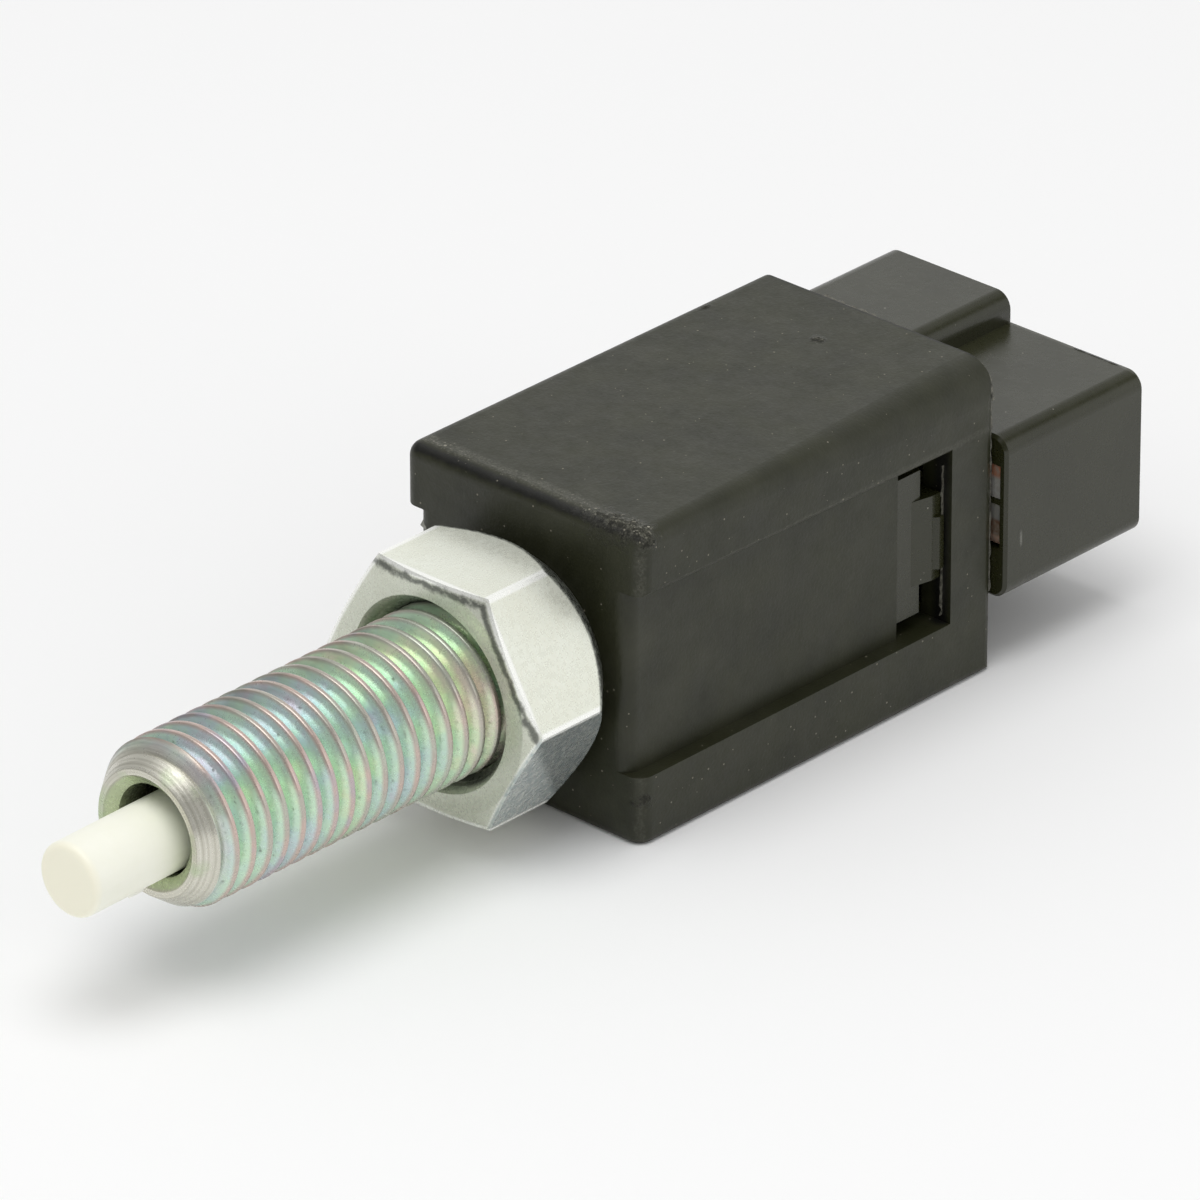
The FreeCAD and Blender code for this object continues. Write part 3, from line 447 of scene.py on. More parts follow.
def bump(nodes, shader, height, distance):
    node = nodes.add("Bump", {"Height": height, "Distance": distance * MM, "Strength": 1.0})
    nodes.feed(shader.inputs["Normal"], node.outputs[0])


# Shared effects
def new_effect(name, inputs, outputs):
    """An empty node group, with the sockets inside it by name."""
    tree = bpy.data.node_groups.new(name, "ShaderNodeTree")
    for label, kind in inputs:
        tree.interface.new_socket(name=label, in_out="INPUT", socket_type="NodeSocket" + kind)
    for label in outputs:
        tree.interface.new_socket(name=label, in_out="OUTPUT", socket_type="NodeSocketFloat")
    entry = tree.nodes.new("NodeGroupInput")
    leave = tree.nodes.new("NodeGroupOutput")
    return Nodes(tree), entry.outputs, leave.inputs


def make_dust():
    """Specks of dust, one in some of the cells of a cell pattern."""
    nodes, given, result = new_effect(
        "dust", [("Place", "Vector"), ("Cells", "Float"), ("Share", "Float"), ("Size", "Float")],
        ["Mask"])
    cells = nodes.add("TexVoronoi", {"Vector": given["Place"], "Scale": given["Cells"]})
    chance = nodes.add("SeparateColor", {"Color": cells.outputs["Color"]}).outputs
    chosen = nodes.math("LESS_THAN", chance[0], given["Share"])
    size = nodes.times(nodes.band(chance[1], 0.3, 1, 0.05, 0.15), given["Size"])
    near = nodes.math("LESS_THAN", cells.outputs["Distance"], size)
    nodes.feed(result["Mask"], nodes.times(chosen, near))


def make_grain():
    """The fine unevenness of a moulded or plated surface, and its slow change of tone."""
    nodes, given, result = new_effect(
        "grain", [("Place", "Vector"), ("Scale", "Float")], ["Height", "Tone"])
    fine = nodes.noise(given["Place"], given["Scale"], 4.0, 0.6)
    coarse = nodes.noise(given["Place"], nodes.times(given["Scale"], 0.22), 3.0, 0.55)
    nodes.feed(result["Height"], nodes.math("ADD", fine, coarse))
    broad = nodes.noise(given["Place"], nodes.times(given["Scale"], 0.06), 6.0, 0.62)
    nodes.feed(result["Tone"], nodes.band(broad, 0.32, 0.68))


def make_wear():
    """Ragged wear near a point, or along the line through it that Across leaves out."""
    nodes, given, result = new_effect(
        "wear", [("Place", "Vector"), ("Point", "Vector"), ("Across", "Vector"), ("Width", "Float"),
                 ("Ragged", "Float")], ["Mask"])
    offset = nodes.vector("SUBTRACT", given["Place"], given["Point"])
    distance = nodes.vector("LENGTH", nodes.vector("MULTIPLY", offset, given["Across"]))
    rough = nodes.math("SUBTRACT", nodes.noise(given["Place"], 1.7, 6.0, 0.68), 0.5)
    shifted = nodes.math("MULTIPLY_ADD", rough, given["Ragged"], distance)
    inner = nodes.times(given["Width"], 0.4)
    nodes.feed(result["Mask"], nodes.band(shifted, given["Width"], inner))


# Materials
def case_plastic():
    """Matte black moulding with dust, a scuffed front edge and a crusted corner, and painted shade at
    the front edge, the rear corner and the latch window.
    """
    material, nodes, shader = new_material("case_plastic")
    shader.inputs["Specular IOR Level"].default_value = 0.42
    place = place_in_mm(nodes)
    grain = nodes.effect("grain", place=place, scale=5.0)
    colour = nodes.mix(grain["Tone"], (0.0135, 0.0147, 0.0045), (0.0235, 0.0248, 0.0095))
    half = CASE_HALF_WIDTH / MM
    top = (CASE_HIGH.z - AXIS_HEIGHT) / MM
    rear = (CASE_HIGH.y - CASE_FRONT) / MM
    window_end = rear - 3.6

    # The front top edge rubbed pale, and pale lines along the right front upright edge and along the
    # edge above the side recess
    scuff = nodes.wear(place, (0, 1.05, top), (0, 1, 1), 0.55, 1.5)
    side = nodes.wear(place, (half - 0.2, 0.2, 0), (1, 1, 0), 0.4, 1.2)
    ledge = nodes.wear(place, (half, 0, 5.9), (1, 0, 1), 0.28, 0.6)
    edges = nodes.most(scuff, nodes.times(nodes.most(side, ledge), 0.6))
    haze = nodes.band(nodes.noise(place, 6.5, 4.0, 0.7), 0.44, 0.62, 0.1, 0.5)
    colour = nodes.mix(nodes.times(edges, haze), colour, (0.12, 0.118, 0.094))

    # A dark line of painted shade on the rounding behind the front edge (no groove is cut there), then
    # the crusted corner and the pits
    groove = nodes.wear(place, (0, 0.36, top - 0.28), (0, 1, 1), 0.4, 0.45)
    colour = nodes.mix(nodes.times(groove, 0.9), colour, (0.0015, 0.0015, 0.001))
    crust = nodes.wear(place, (half - 1.6, 0.7, top - 0.3), (0.28, 0.95, 0.95), 1.0, 2.6)
    pit = nodes.wear(place, (-0.55, 24.5, top), (1, 1, 1), 0.5, 1.2)
    nick = nodes.wear(place, (0.9 - half, 23.3, top), (1, 0.7, 1), 0.35, 0.6)
    foot = nodes.wear(place, (half, 0.3, -6.4), (0.6, 0.6, 1), 0.5, 2.0)
    marks = nodes.most(crust, pit, nick, foot)
    crumbs = nodes.noise(place, 3.4, 5.0, 0.75)
    crust_colour = nodes.ramp(crumbs, [
        (0.42, (0.007, 0.007, 0.004)), (0.54, (0.03, 0.029, 0.02)), (0.66, (0.16, 0.155, 0.12))])
    colour = nodes.mix(nodes.times(marks, 0.8), colour, crust_colour)

    # Pale flecks where the front edges are chipped
    flecks = nodes.dust(place, 2.8, 0.85, 1.7)
    chips = nodes.band(nodes.noise(place, 7.5, 2.0, 0.6), 0.59, 0.64)
    flecks = nodes.most(flecks, nodes.times(chips, 0.5))
    chipped = nodes.math("ADD", scuff, nodes.math("MULTIPLY_ADD", side, 0.2, crust))
    thinned = nodes.band(nodes.noise(place, 0.5, 2.0, 0.5), 0.4, 0.62, 0.15, 0.75)
    flecks = nodes.times(flecks, nodes.math("MULTIPLY", chipped, thinned, clamp=True))
    colour = nodes.mix(flecks, colour, (0.34, 0.325, 0.26))

    # A dark seam along the rear top edge, painted shade down the rear upright corner, and painted shade
    # on the end wall of the latch window
    seam = nodes.wear(place, (0, rear, top), (0, 1, 1), 0.2, 0.3)
    corner = nodes.wear(place, (half, rear, 0), (1, 1, 0), 0.45, 0.5)
    colour = nodes.mix(nodes.times(nodes.most(seam, corner), 0.75), colour, (0.004, 0.004, 0.003))
    end_wall_shade = nodes.wear(place, (half - 0.75, window_end, 0), (1, 1, 0), 0.75, 0.1)
    from_middle = nodes.math("ABSOLUTE", nodes.parts(place)[2])
    end_wall_shade = nodes.times(end_wall_shade, nodes.band(from_middle, 5.6, 5.3))
    colour = nodes.mix(end_wall_shade, colour, (0.003, 0.003, 0.002))

    # Dust over all of it
    film = nodes.band(nodes.noise(place, 0.25, 4.0, 0.6), 0.45, 0.7)
    colour = nodes.mix(nodes.times(film, 0.12), colour, (0.07, 0.068, 0.055))
    dust = nodes.dust(place, 2.4, 0.3)
    colour = nodes.mix(dust, colour, (0.2, 0.185, 0.145))
    worn = nodes.times(nodes.most(marks, dust), 0.85)
    uneven = nodes.band(grain["Height"], 0.7, 1.3, 0.4, 0.52)
    coat(nodes, shader, colour, nodes.most(uneven, worn))
    height = nodes.math("MULTIPLY_ADD", nodes.times(marks, crumbs), 5.0, grain["Height"])
    bump(nodes, shader, height, 0.018)
    return material


def base_plastic():
    """Black moulding with half gloss."""
    material, nodes, shader = new_material("base_plastic")
    place = place_in_mm(nodes)
    grain = nodes.effect("grain", place=place, scale=3.0)
    colour = nodes.mix(grain["Tone"], (0.0165, 0.0172, 0.005), (0.0235, 0.0245, 0.0095))
    scratch = nodes.wear(place, (9.5, 30.2, -1.3), (1, 1, 0.22), 0.13, 0.12)
    rim = nodes.wear(place, (0, (BASE_HIGH.y - CASE_FRONT) / MM, 5.2), (0, 1, 1), 0.25, 0.5)
    light = nodes.most(scratch, nodes.times(rim, 0.5))
    colour = nodes.mix(light, colour, (0.12, 0.12, 0.1))
    dust = nodes.dust(place, 2.4, 0.06)
    colour = nodes.mix(dust, colour, (0.25, 0.24, 0.2))
    coat(nodes, shader, colour, nodes.band(grain["Height"], 0.7, 1.3, 0.24, 0.32))
    bump(nodes, shader, grain["Height"], 0.006)
    return material


def ivory_plastic():
    """Ivory rod whose tip is a little darker."""
    material, nodes, shader = new_material("ivory_plastic")
    place = place_in_mm(nodes)
    tip = nodes.band(nodes.parts(place)[1], -34.2, -34.65)
    grain = nodes.effect("grain", place=place, scale=4.0)
    colour = nodes.mix(grain["Tone"], (0.93, 0.93, 0.8), (0.96, 0.96, 0.86))
    colour = nodes.mix(tip, colour, srgb(252, 249, 228))
    coat(nodes, shader, colour, nodes.band(grain["Height"], 0.7, 1.3, 0.4, 0.5))
    bump(nodes, shader, grain["Height"], 0.01)
    return material


def barrel_zinc():
    """Rainbow zinc plate: pinkish on the crests, green to blue between them, with dirt, and painted
    shade streaked over the upper left and darkening the bore.
    """
    material, nodes, shader = new_material("barrel_zinc")
    place = place_in_mm(nodes)
    settings = bpy.context.scene.switch_barrel
    crest_radius = settings.crest_radius / MM
    mouth_radius = settings.mouth_radius / MM
    mouth = -BARREL_LENGTH / MM
    parts, radius, turned = about_barrel(nodes, place)
    broad = nodes.noise(nodes.vector("ADD", place, (3.1, 0, 7.4)), 0.22, 5.0, 0.6)
    drift = nodes.band(parts[1], -26, -8, -0.1, 0.1)
    groove = nodes.ramp(nodes.math("ADD", broad, drift), [
        (0.3, srgb(216, 210, 220)), (0.4, srgb(200, 220, 220)), (0.48, srgb(202, 228, 210)),
        (0.57, srgb(208, 236, 206)), (0.66, srgb(220, 234, 200)), (0.76, srgb(232, 222, 206))])
    tint = nodes.noise(nodes.vector("ADD", place, (11.0, 4.0, 2.0)), 0.2, 3.0, 0.6)
    crest = nodes.ramp(nodes.math("SUBTRACT", tint, drift), [
        (0.36, srgb(190, 194, 180)), (0.47, srgb(190, 182, 172)), (0.56, srgb(206, 184, 174)),
        (0.68, srgb(186, 180, 190))])
    on_crest = nodes.band(radius, crest_radius - 0.2, crest_radius - 0.04)
    colour = nodes.mix(on_crest, groove, crest)

    # Turned lines round the mouth, and painted shade darkening the bore inwards
    lines = nodes.noise(turned, 7.0, 3.0, 0.7)
    at_mouth = nodes.band(parts[1], mouth + 1.8, mouth + 1.0)
    ring = nodes.mix(nodes.band(lines, 0.35, 0.65), srgb(184, 182, 168), srgb(226, 224, 212))
    ring = nodes.mix(nodes.band(tint, 0.5, 0.62), ring, srgb(180, 196, 160))
    colour = nodes.mix(at_mouth, colour, ring)
    inside = nodes.band(radius, mouth_radius + 0.06, mouth_radius - 0.06)
    deep = nodes.band(parts[1], mouth + 0.4, mouth + 2.5)
    colour = nodes.mix(inside, colour, nodes.mix(deep, srgb(196, 208, 172), srgb(104, 106, 84)))

    # Dirt low on the flanks and in spots, and painted shade streaked along the turns at the upper left,
    # standing in for dark reflections there
    low = nodes.math("ABSOLUTE", nodes.math("SUBTRACT", radius, crest_radius - 0.42))
    flank_grime = nodes.band(nodes.noise(place, 2.2, 6.0, 0.7), 0.56, 0.68)
    flank_grime = nodes.times(nodes.band(low, 0.13, 0.03), flank_grime)
    spots = nodes.times(nodes.band(nodes.noise(place, 1.9, 6.0, 0.72), 0.7, 0.78), 0.5)
    upper_left = nodes.math("MULTIPLY_ADD", parts[0], -0.6, nodes.times(parts[2], 0.8))
    bands = nodes.noise(nodes.vector("MULTIPLY", place, (0.25, 2.2, 0.25)), 1.0, 4.0, 0.6)
    streak_shade = nodes.times(nodes.band(upper_left, 3.0, 4.5), nodes.band(bands, 0.42, 0.6, 0.15, 1.0))
    grime_and_shade = nodes.most(flank_grime, spots, nodes.times(streak_shade, 0.75))
    outside = nodes.math("SUBTRACT", 1.0, inside)
    grime_and_shade = nodes.times(nodes.times(grime_and_shade, outside), 0.6)
    colour = nodes.mix(grime_and_shade, colour, srgb(64, 64, 50))
    shader.inputs["Metallic"].default_value = 0.55
    grain = nodes.effect("grain", place=place, scale=4.0)
    uneven = nodes.band(grain["Height"], 0.7, 1.3, 0.2, 0.34)
    coat(nodes, shader, colour, nodes.math("ADD", uneven, nodes.times(grime_and_shade, 0.4)))
    cut = nodes.times(nodes.times(lines, at_mouth), 1.5)
    bump(nodes, shader, nodes.math("ADD", grain["Height"], cut), 0.006)
    return material


def nut_zinc():
    """Bright zinc plate with painted highlights along its edges, painted reflection as thin dark marks
    inside the front edges, and painted shade on the front face, the lower right flat and in the
    countersink.
    """
    material, nodes, shader = new_material("nut_zinc")
    place = place_in_mm(nodes)
    settings = bpy.context.scene.switch_nut
    crest_radius = bpy.context.scene.switch_barrel.crest_radius
    opening = (crest_radius + settings.bore_clearance + settings.countersink) / MM
    flat = settings.width / 2 / MM
    corner = settings.width / math.sqrt(3) / MM
    front = (NUT_LOW.y - CASE_FRONT) / MM
    rear = (NUT_HIGH.y - CASE_FRONT) / MM
    pale = srgb(252, 253, 248)
    parts, radius, turned = about_barrel(nodes, place)
    grain = nodes.effect("grain", place=place, scale=6.0)
    fine = nodes.noise(place, 2.6, 6.0, 0.7)
    colour = nodes.mix(nodes.band(fine, 0.35, 0.62), srgb(228, 231, 218), srgb(240, 243, 231))
    colour = nodes.mix(nodes.times(grain["Tone"], 0.4), colour, srgb(222, 222, 204))

    # Distances from the axis towards all the flats, the upper ones and the lower right one
    to_right = nodes.times(parts[0], math.sqrt(3) / 2)
    lift = nodes.times(parts[2], 0.5)
    slanted = nodes.math("ADD", nodes.math("ABSOLUTE", to_right), nodes.math("ABSOLUTE", lift))
    to_flat = nodes.most(slanted, nodes.math("ABSOLUTE", parts[2]))
    to_upper = nodes.most(nodes.math("ADD", to_right, lift), parts[2])
    to_lower = nodes.math("SUBTRACT", to_right, lift)

    # The front face: painted shade over it, a wandering dark line of painted reflection, and a pale rim
    # of painted highlight outside it
    wander = nodes.math("SUBTRACT", nodes.noise(place, 1.1, 5.0, 0.65), 0.5)
    shifted = nodes.math("MULTIPLY_ADD", wander, 0.8, to_upper)
    line = nodes.band(nodes.math("ABSOLUTE", nodes.math("SUBTRACT", shifted, flat - 0.44)), 0.3, 0.1)
    at_front = nodes.band(parts[1], front + 0.45, front + 0.3)
    broken = nodes.band(nodes.noise(place, 1.6, 6.0, 0.7), 0.3, 0.46)
    painted_reflection_line = nodes.times(nodes.times(line, at_front), broken)
    colour = nodes.mix(nodes.times(at_front, 0.45), colour, srgb(184, 188, 172))
    rim = nodes.times(nodes.band(to_flat, flat - 0.28, flat - 0.16), at_front)
    colour = nodes.mix(rim, colour, pale)

    # The countersink, darkened at its lower right by painted shade, with painted glints of the turns
    # inside it
    inside = nodes.band(radius, opening - 0.08, opening - 0.3)
    lower_right = nodes.band(nodes.math("SUBTRACT", parts[0], parts[2]), 2.0, 4.5)
    bore = nodes.mix(lower_right, srgb(140, 158, 128), srgb(44, 47, 41))
    glints = nodes.band(nodes.noise(turned, 4.5, 2.0, 0.6), 0.55, 0.6)
    bore = nodes.mix(nodes.times(glints, 0.55), bore, srgb(190, 196, 182))

    # Painted highlights along each corner, and the rear chamfer painted dark as a reflection of the
    # case it faces
    bright = nodes.band(radius, corner - 0.16, corner - 0.1)
    colour = nodes.mix(bright, colour, pale)
    rear_radius = settings.rear_face_radius / MM
    rise = settings.rear_chamfer / MM / (corner - rear_radius)
    reach = nodes.math("MULTIPLY_ADD", nodes.math("SUBTRACT", radius, rear_radius), rise, parts[1])
    chamfer = nodes.times(nodes.band(reach, rear - 0.2, rear - 0.08),
                          nodes.band(parts[1], rear, rear - 0.08))
    specks = nodes.dust(place, 3.0, 0.35)
    # Painted reflection inside the front edges, together with dust specks
    dark = nodes.most(nodes.times(painted_reflection_line, 0.78), nodes.times(specks, 0.15))
    colour = nodes.mix(dark, colour, srgb(56, 60, 58))
    mottled = nodes.mix(nodes.band(fine, 0.44, 0.6), srgb(80, 82, 77), srgb(150, 154, 144))
    colour = nodes.mix(chamfer, colour, mottled)

    # The lower right flat is painted duller and bluer, as painted shade from the shadowed floor it
    # faces, and is more metallic and smoother than the others
    off_corner = nodes.math("SUBTRACT", 1.0, bright)
    underside = nodes.times(nodes.band(to_lower, flat - 0.2, flat - 0.1), off_corner)
    shaded_underside_colour = nodes.mix(nodes.band(fine, 0.4, 0.62), srgb(176, 186, 186), srgb(216, 220, 214))
    colour = nodes.mix(underside, colour, shaded_underside_colour)
    colour = nodes.mix(nodes.times(inside, 0.85), colour, bore)
    nodes.feed(shader.inputs["Metallic"], nodes.band(underside, 0, 1, 0.42, 0.64))
    satin = nodes.band(fine, 0.35, 0.65, 0.24, 0.32)
    coat(nodes, shader, colour, nodes.times(satin, nodes.band(underside, 0, 1, 1.0, 0.6)))
    bump(nodes, shader, grain["Height"], 0.0012)
    return material


def terminal_metal():
    """Sheet brass, tinned on its faces and bare where it was cut, with a band of painted shade across
    it.
    """
    material, nodes, shader = new_material("tinned_brass")
    place = place_in_mm(nodes)
    parts = nodes.parts(place)
    # Bands up the terminals; the dark band about 1.2 mm above the barrel axis is painted shade standing
    # in for a groove
    bands = nodes.ramp(nodes.band(parts[2], -2.0, 4.0), [
        (0.03, srgb(206, 170, 150)), (0.17, srgb(190, 150, 128)), (0.2, srgb(124, 92, 70)),
        (0.33, srgb(120, 92, 72)), (0.36, srgb(150, 150, 146)), (0.5, srgb(158, 158, 152)),
        (0.53, srgb(50, 46, 42)), (0.57, srgb(200, 200, 196)), (0.76, srgb(196, 196, 190)),
        (0.8, srgb(204, 128, 92))])
    bands = nodes.mix(nodes.band(parts[1], 31.2, 31.6), bands, srgb(206, 206, 198))
    fine = nodes.noise(place, 2.4, 5.0, 0.65)
    colour = nodes.mix(nodes.band(fine, 0.4, 0.7, 0.0, 0.8), bands, srgb(160, 154, 142))
    shader.inputs["Metallic"].default_value = 0.6
    coat(nodes, shader, colour, nodes.band(fine, 0.3, 0.7, 0.3, 0.45))
    bump(nodes, shader, fine, 0.01)
    return material


def flash_plastic():
    """The paler plastic of thin torn edges."""
    material, nodes, shader = new_material("flash_plastic")
    crumbs = nodes.band(nodes.noise(place_in_mm(nodes), 3.0, 4.0, 0.7), 0.35, 0.55)
    coat(nodes, shader, nodes.mix(crumbs, (0.025, 0.025, 0.016), (0.13, 0.125, 0.1)), 0.6)
    return material


def plain_surface(name, colour, metallic, roughness):
    """A surface with no marks of its own, for the pieces inside the case."""
    material, nodes, shader = new_material(name)
    grain = nodes.effect("grain", place=place_in_mm(nodes), scale=4.0)
    dark = tuple(value * 0.85 for value in colour)
    shader.inputs["Metallic"].default_value = metallic
    uneven = nodes.band(grain["Height"], 0.7, 1.3, roughness - 0.05, roughness + 0.05)
    coat(nodes, shader, nodes.mix(grain["Tone"], dark, colour), uneven)
    bump(nodes, shader, grain["Height"], 0.008)
    return material


def dress(piece, material):
    piece.data.materials.clear()
    piece.data.materials.append(material)


def dress_node(name, material):
    dress(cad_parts[name], material)


class SWITCH_OT_effects(bpy.types.Operator):
    """Make the dust, grain and wear that the materials share"""
    bl_idname = "switch.effects"
    bl_label = "Shared effects"

    def execute(self, context):
        make_dust()
        make_grain()
        make_wear()
        return {"FINISHED"}


class SWITCH_OT_barrel(bpy.types.Operator):
    """Model the threaded barrel with its chamfer and bore"""
    bl_idname = "switch.barrel"
    bl_label = "Barrel"

    def execute(self, context):
        settings = context.scene.switch_barrel
        mouth = -BARREL_LENGTH
        thread_end = 0.5 * MM
        spare = 0.1 * MM
        ring_depth = 0.55 * MM
        crest = settings.crest_radius + spare / 2
        core = thread_core("barrel_thread", settings, mouth - 0.5 * MM, thread_end + spare)
        slope = settings.crest_radius - settings.end_radius
        beyond = settings.chamfer_length * (crest - settings.end_radius) / slope
        ease = settings.mouth_ease
        shape = lathe("barrel_shape", [
            (settings.mouth_radius, mouth + ease),
            (settings.mouth_radius + ease, mouth),
            (settings.end_radius - ease, mouth),
            (settings.end_radius, mouth + ease),
            (crest, mouth + beyond),
            (crest, thread_end),
            (settings.bore_radius, thread_end),
            (settings.bore_radius, mouth + ring_depth),
        ], settings.steps)
        combine(core, shape, "INTERSECT")
        tail = lathe("barrel_tail", [
            (settings.bore_radius, thread_end),
            (settings.crest_radius, thread_end),
            (settings.crest_radius, SLEEVE_TAIL),
            (settings.bore_radius, SLEEVE_TAIL),
        ], settings.steps)
        pick(core)
        tail.select_set(True)
        bpy.ops.object.join()
        settle(core)
        smooth(core, 35)
        dress(core, barrel_zinc())
        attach(core, "case")
        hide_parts("threaded_sleeve")
        return {"FINISHED"}


class SWITCH_OT_nut(bpy.types.Operator):
    """Model the hexagon lock nut, whose bore slides over the barrel's crests"""
    bl_idname = "switch.nut"
    bl_label = "Lock nut"

    def execute(self, context):
        settings = context.scene.switch_nut
        barrel = context.scene.switch_barrel
        front = NUT_LOW.y - CASE_FRONT
        rear = NUT_HIGH.y - CASE_FRONT
        corner = settings.width / math.sqrt(3)
        bpy.ops.mesh.primitive_cylinder_add(
            vertices=6, radius=corner, depth=rear - front, location=on_axis((front + rear) / 2),
            rotation=(math.radians(90), 0, 0))
        nut = bpy.context.active_object
        nut.name = "nut"
        settle(nut)
        # The corners stand to the left and right, and two flats lie level
        edit_all(nut)
        bpy.ops.transform.rotate(value=math.radians(30), orient_axis="Y", center_override=on_axis(0))
        bpy.ops.object.mode_set(mode="OBJECT")
        front_rise = settings.front_chamfer / (corner - settings.front_face_radius)
        rear_rise = settings.rear_chamfer / (corner - settings.rear_face_radius)
        outside = corner + 0.5 * MM
        bore = barrel.crest_radius + settings.bore_clearance
        opening = bore + settings.countersink
        depth = settings.countersink * 1.6
        shape = lathe("nut_shape", [
            (opening, front),
            (settings.front_face_radius, front),
            (outside, front + front_rise * (outside - settings.front_face_radius)),
            (outside, rear - rear_rise * (outside - settings.rear_face_radius)),
            (settings.rear_face_radius, rear),
            (opening, rear),
            (bore, rear - depth),
            (bore, front + depth),
        ], steps=192)
        combine(nut, shape, "INTERSECT")
        apply_modifier(nut, "BEVEL", width=settings.edge_width, segments=3, limit_method="ANGLE",
                       angle_limit=math.radians(18), harden_normals=False)
        settle(nut)
        smooth(nut, 30)
        apply_modifier(nut, "WEIGHTED_NORMAL", keep_sharp=True, weight=90)
        dress(nut, nut_zinc())
        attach(nut, "lock_nut")
        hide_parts("lock_nut")
        return {"FINISHED"}


def wind_wire(name, axis, wire, turns, steel):
    """A round wire wound in place of one of the springs of the CAD model."""
    low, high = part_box(name)
    index = "XYZ".index(axis)
    centre = (low + high) / 2
    centre[index] = low[index] + wire / 2
    radius = (high.x - low.x) / 2 - wire / 2
    rise = (high[index] - low[index] - wire) / turns
    bpy.ops.mesh.primitive_circle_add(vertices=12, radius=wire / 2, location=centre)
    spring = bpy.context.active_object
    spring.name = name + "_wire"
    edit_all(spring)
    if axis == "Z":
        bpy.ops.transform.rotate(value=math.radians(90), orient_axis="X", center_override=centre)
    bpy.ops.transform.translate(value=(radius, 0, 0))
    bpy.ops.object.mode_set(mode="OBJECT")
    apply_modifier(spring, "SCREW", axis=axis, angle=math.tau, screw_offset=rise, iterations=turns,
                   steps=40, render_steps=40, use_normal_calculate=True)
    edit_all(spring)
    bpy.ops.mesh.fill_holes(sides=0)
    bpy.ops.object.mode_set(mode="OBJECT")
    tidy_normals(spring)
    settle(spring)
    smooth(spring, 50)
    dress(spring, steel)
    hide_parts(name)
    return spring


class SWITCH_OT_springs(bpy.types.Operator):
    """Wind the two springs from round wire"""
    bl_idname = "switch.springs"
    bl_label = "Springs"

    def execute(self, context):
        settings = context.scene.switch_springs
        steel = plain_surface("spring_steel", srgb(176, 176, 172), 1.0, 0.3)
        spring = wind_wire("return_spring", "Y", settings.return_wire, settings.return_turns, steel)
        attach(spring, "case")
        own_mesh(spring)
        spring = wind_wire("contact_spring", "Z", settings.contact_wire, settings.contact_turns, steel)
        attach(spring, "plunger")
        return {"FINISHED"}


class SWITCH_OT_mouldings(bpy.types.Operator):
    """Finish the moulded case, socket, plunger and slider"""
    bl_idname = "switch.mouldings"
    bl_label = "Mouldings"

    def execute(self, context):
        dress_node("case", case_plastic())
        dress_node("connector_base", base_plastic())
        dress_node("plunger", ivory_plastic())
        dress_node("contact_slider", plain_surface("slider_plastic", srgb(222, 216, 200), 0.0, 0.5))
        return {"FINISHED"}


class SWITCH_OT_contacts(bpy.types.Operator):
    """Finish the copper bridge and the two terminals"""
    bl_idname = "switch.contacts"
    bl_label = "Contacts"

    def execute(self, context):
        dress_node("contact_bridge", plain_surface("copper_strip", srgb(206, 134, 98), 1.0, 0.3))
        tinned = terminal_metal()
        dress_node("terminal_left", tinned)
        dress_node("terminal_right", tinned)
        return {"FINISHED"}


def ragged_strip(name, middle, along, outward, length, reach, seed, material, ragged=0.5,
                 body="case", slot="case_plastic"):
    """A thin ragged fin of moulding flash, given by its middle and the way it stands out."""
    along, outward = Vector(along).normalized(), Vector(outward).normalized()
    turned = Matrix((along, outward, along.cross(outward))).transposed().to_euler()
    tooth = 0.3
    thickness = 0.05
    steps = max(3, round(length / tooth))
    bpy.ops.mesh.primitive_grid_add(x_subdivisions=steps, y_subdivisions=1, size=1, location=middle,
                                    rotation=turned)
    strip = bpy.context.active_object
    strip.name = name
    strip.scale = (length * MM, reach * MM, 1)
    settle(strip)
    outer = max(vertex.co.dot(outward) for vertex in strip.data.vertices)
    for vertex in strip.data.vertices:
        vertex.select = vertex.co.dot(outward) > outer - 0.01 * MM
    for group in (strip.data.edges, strip.data.polygons):
        for item in group:
            item.select = False
    bpy.ops.object.mode_set(mode="EDIT")
    bpy.ops.mesh.select_mode(type="VERT")
    bpy.ops.transform.vertex_random(offset=reach * ragged * MM, seed=seed)
    bpy.ops.object.mode_set(mode="OBJECT")
    apply_modifier(strip, "SOLIDIFY", thickness=thickness * MM, offset=0)
    tidy_normals(strip)
    dress(strip, material)
    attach(strip, body)
    return strip


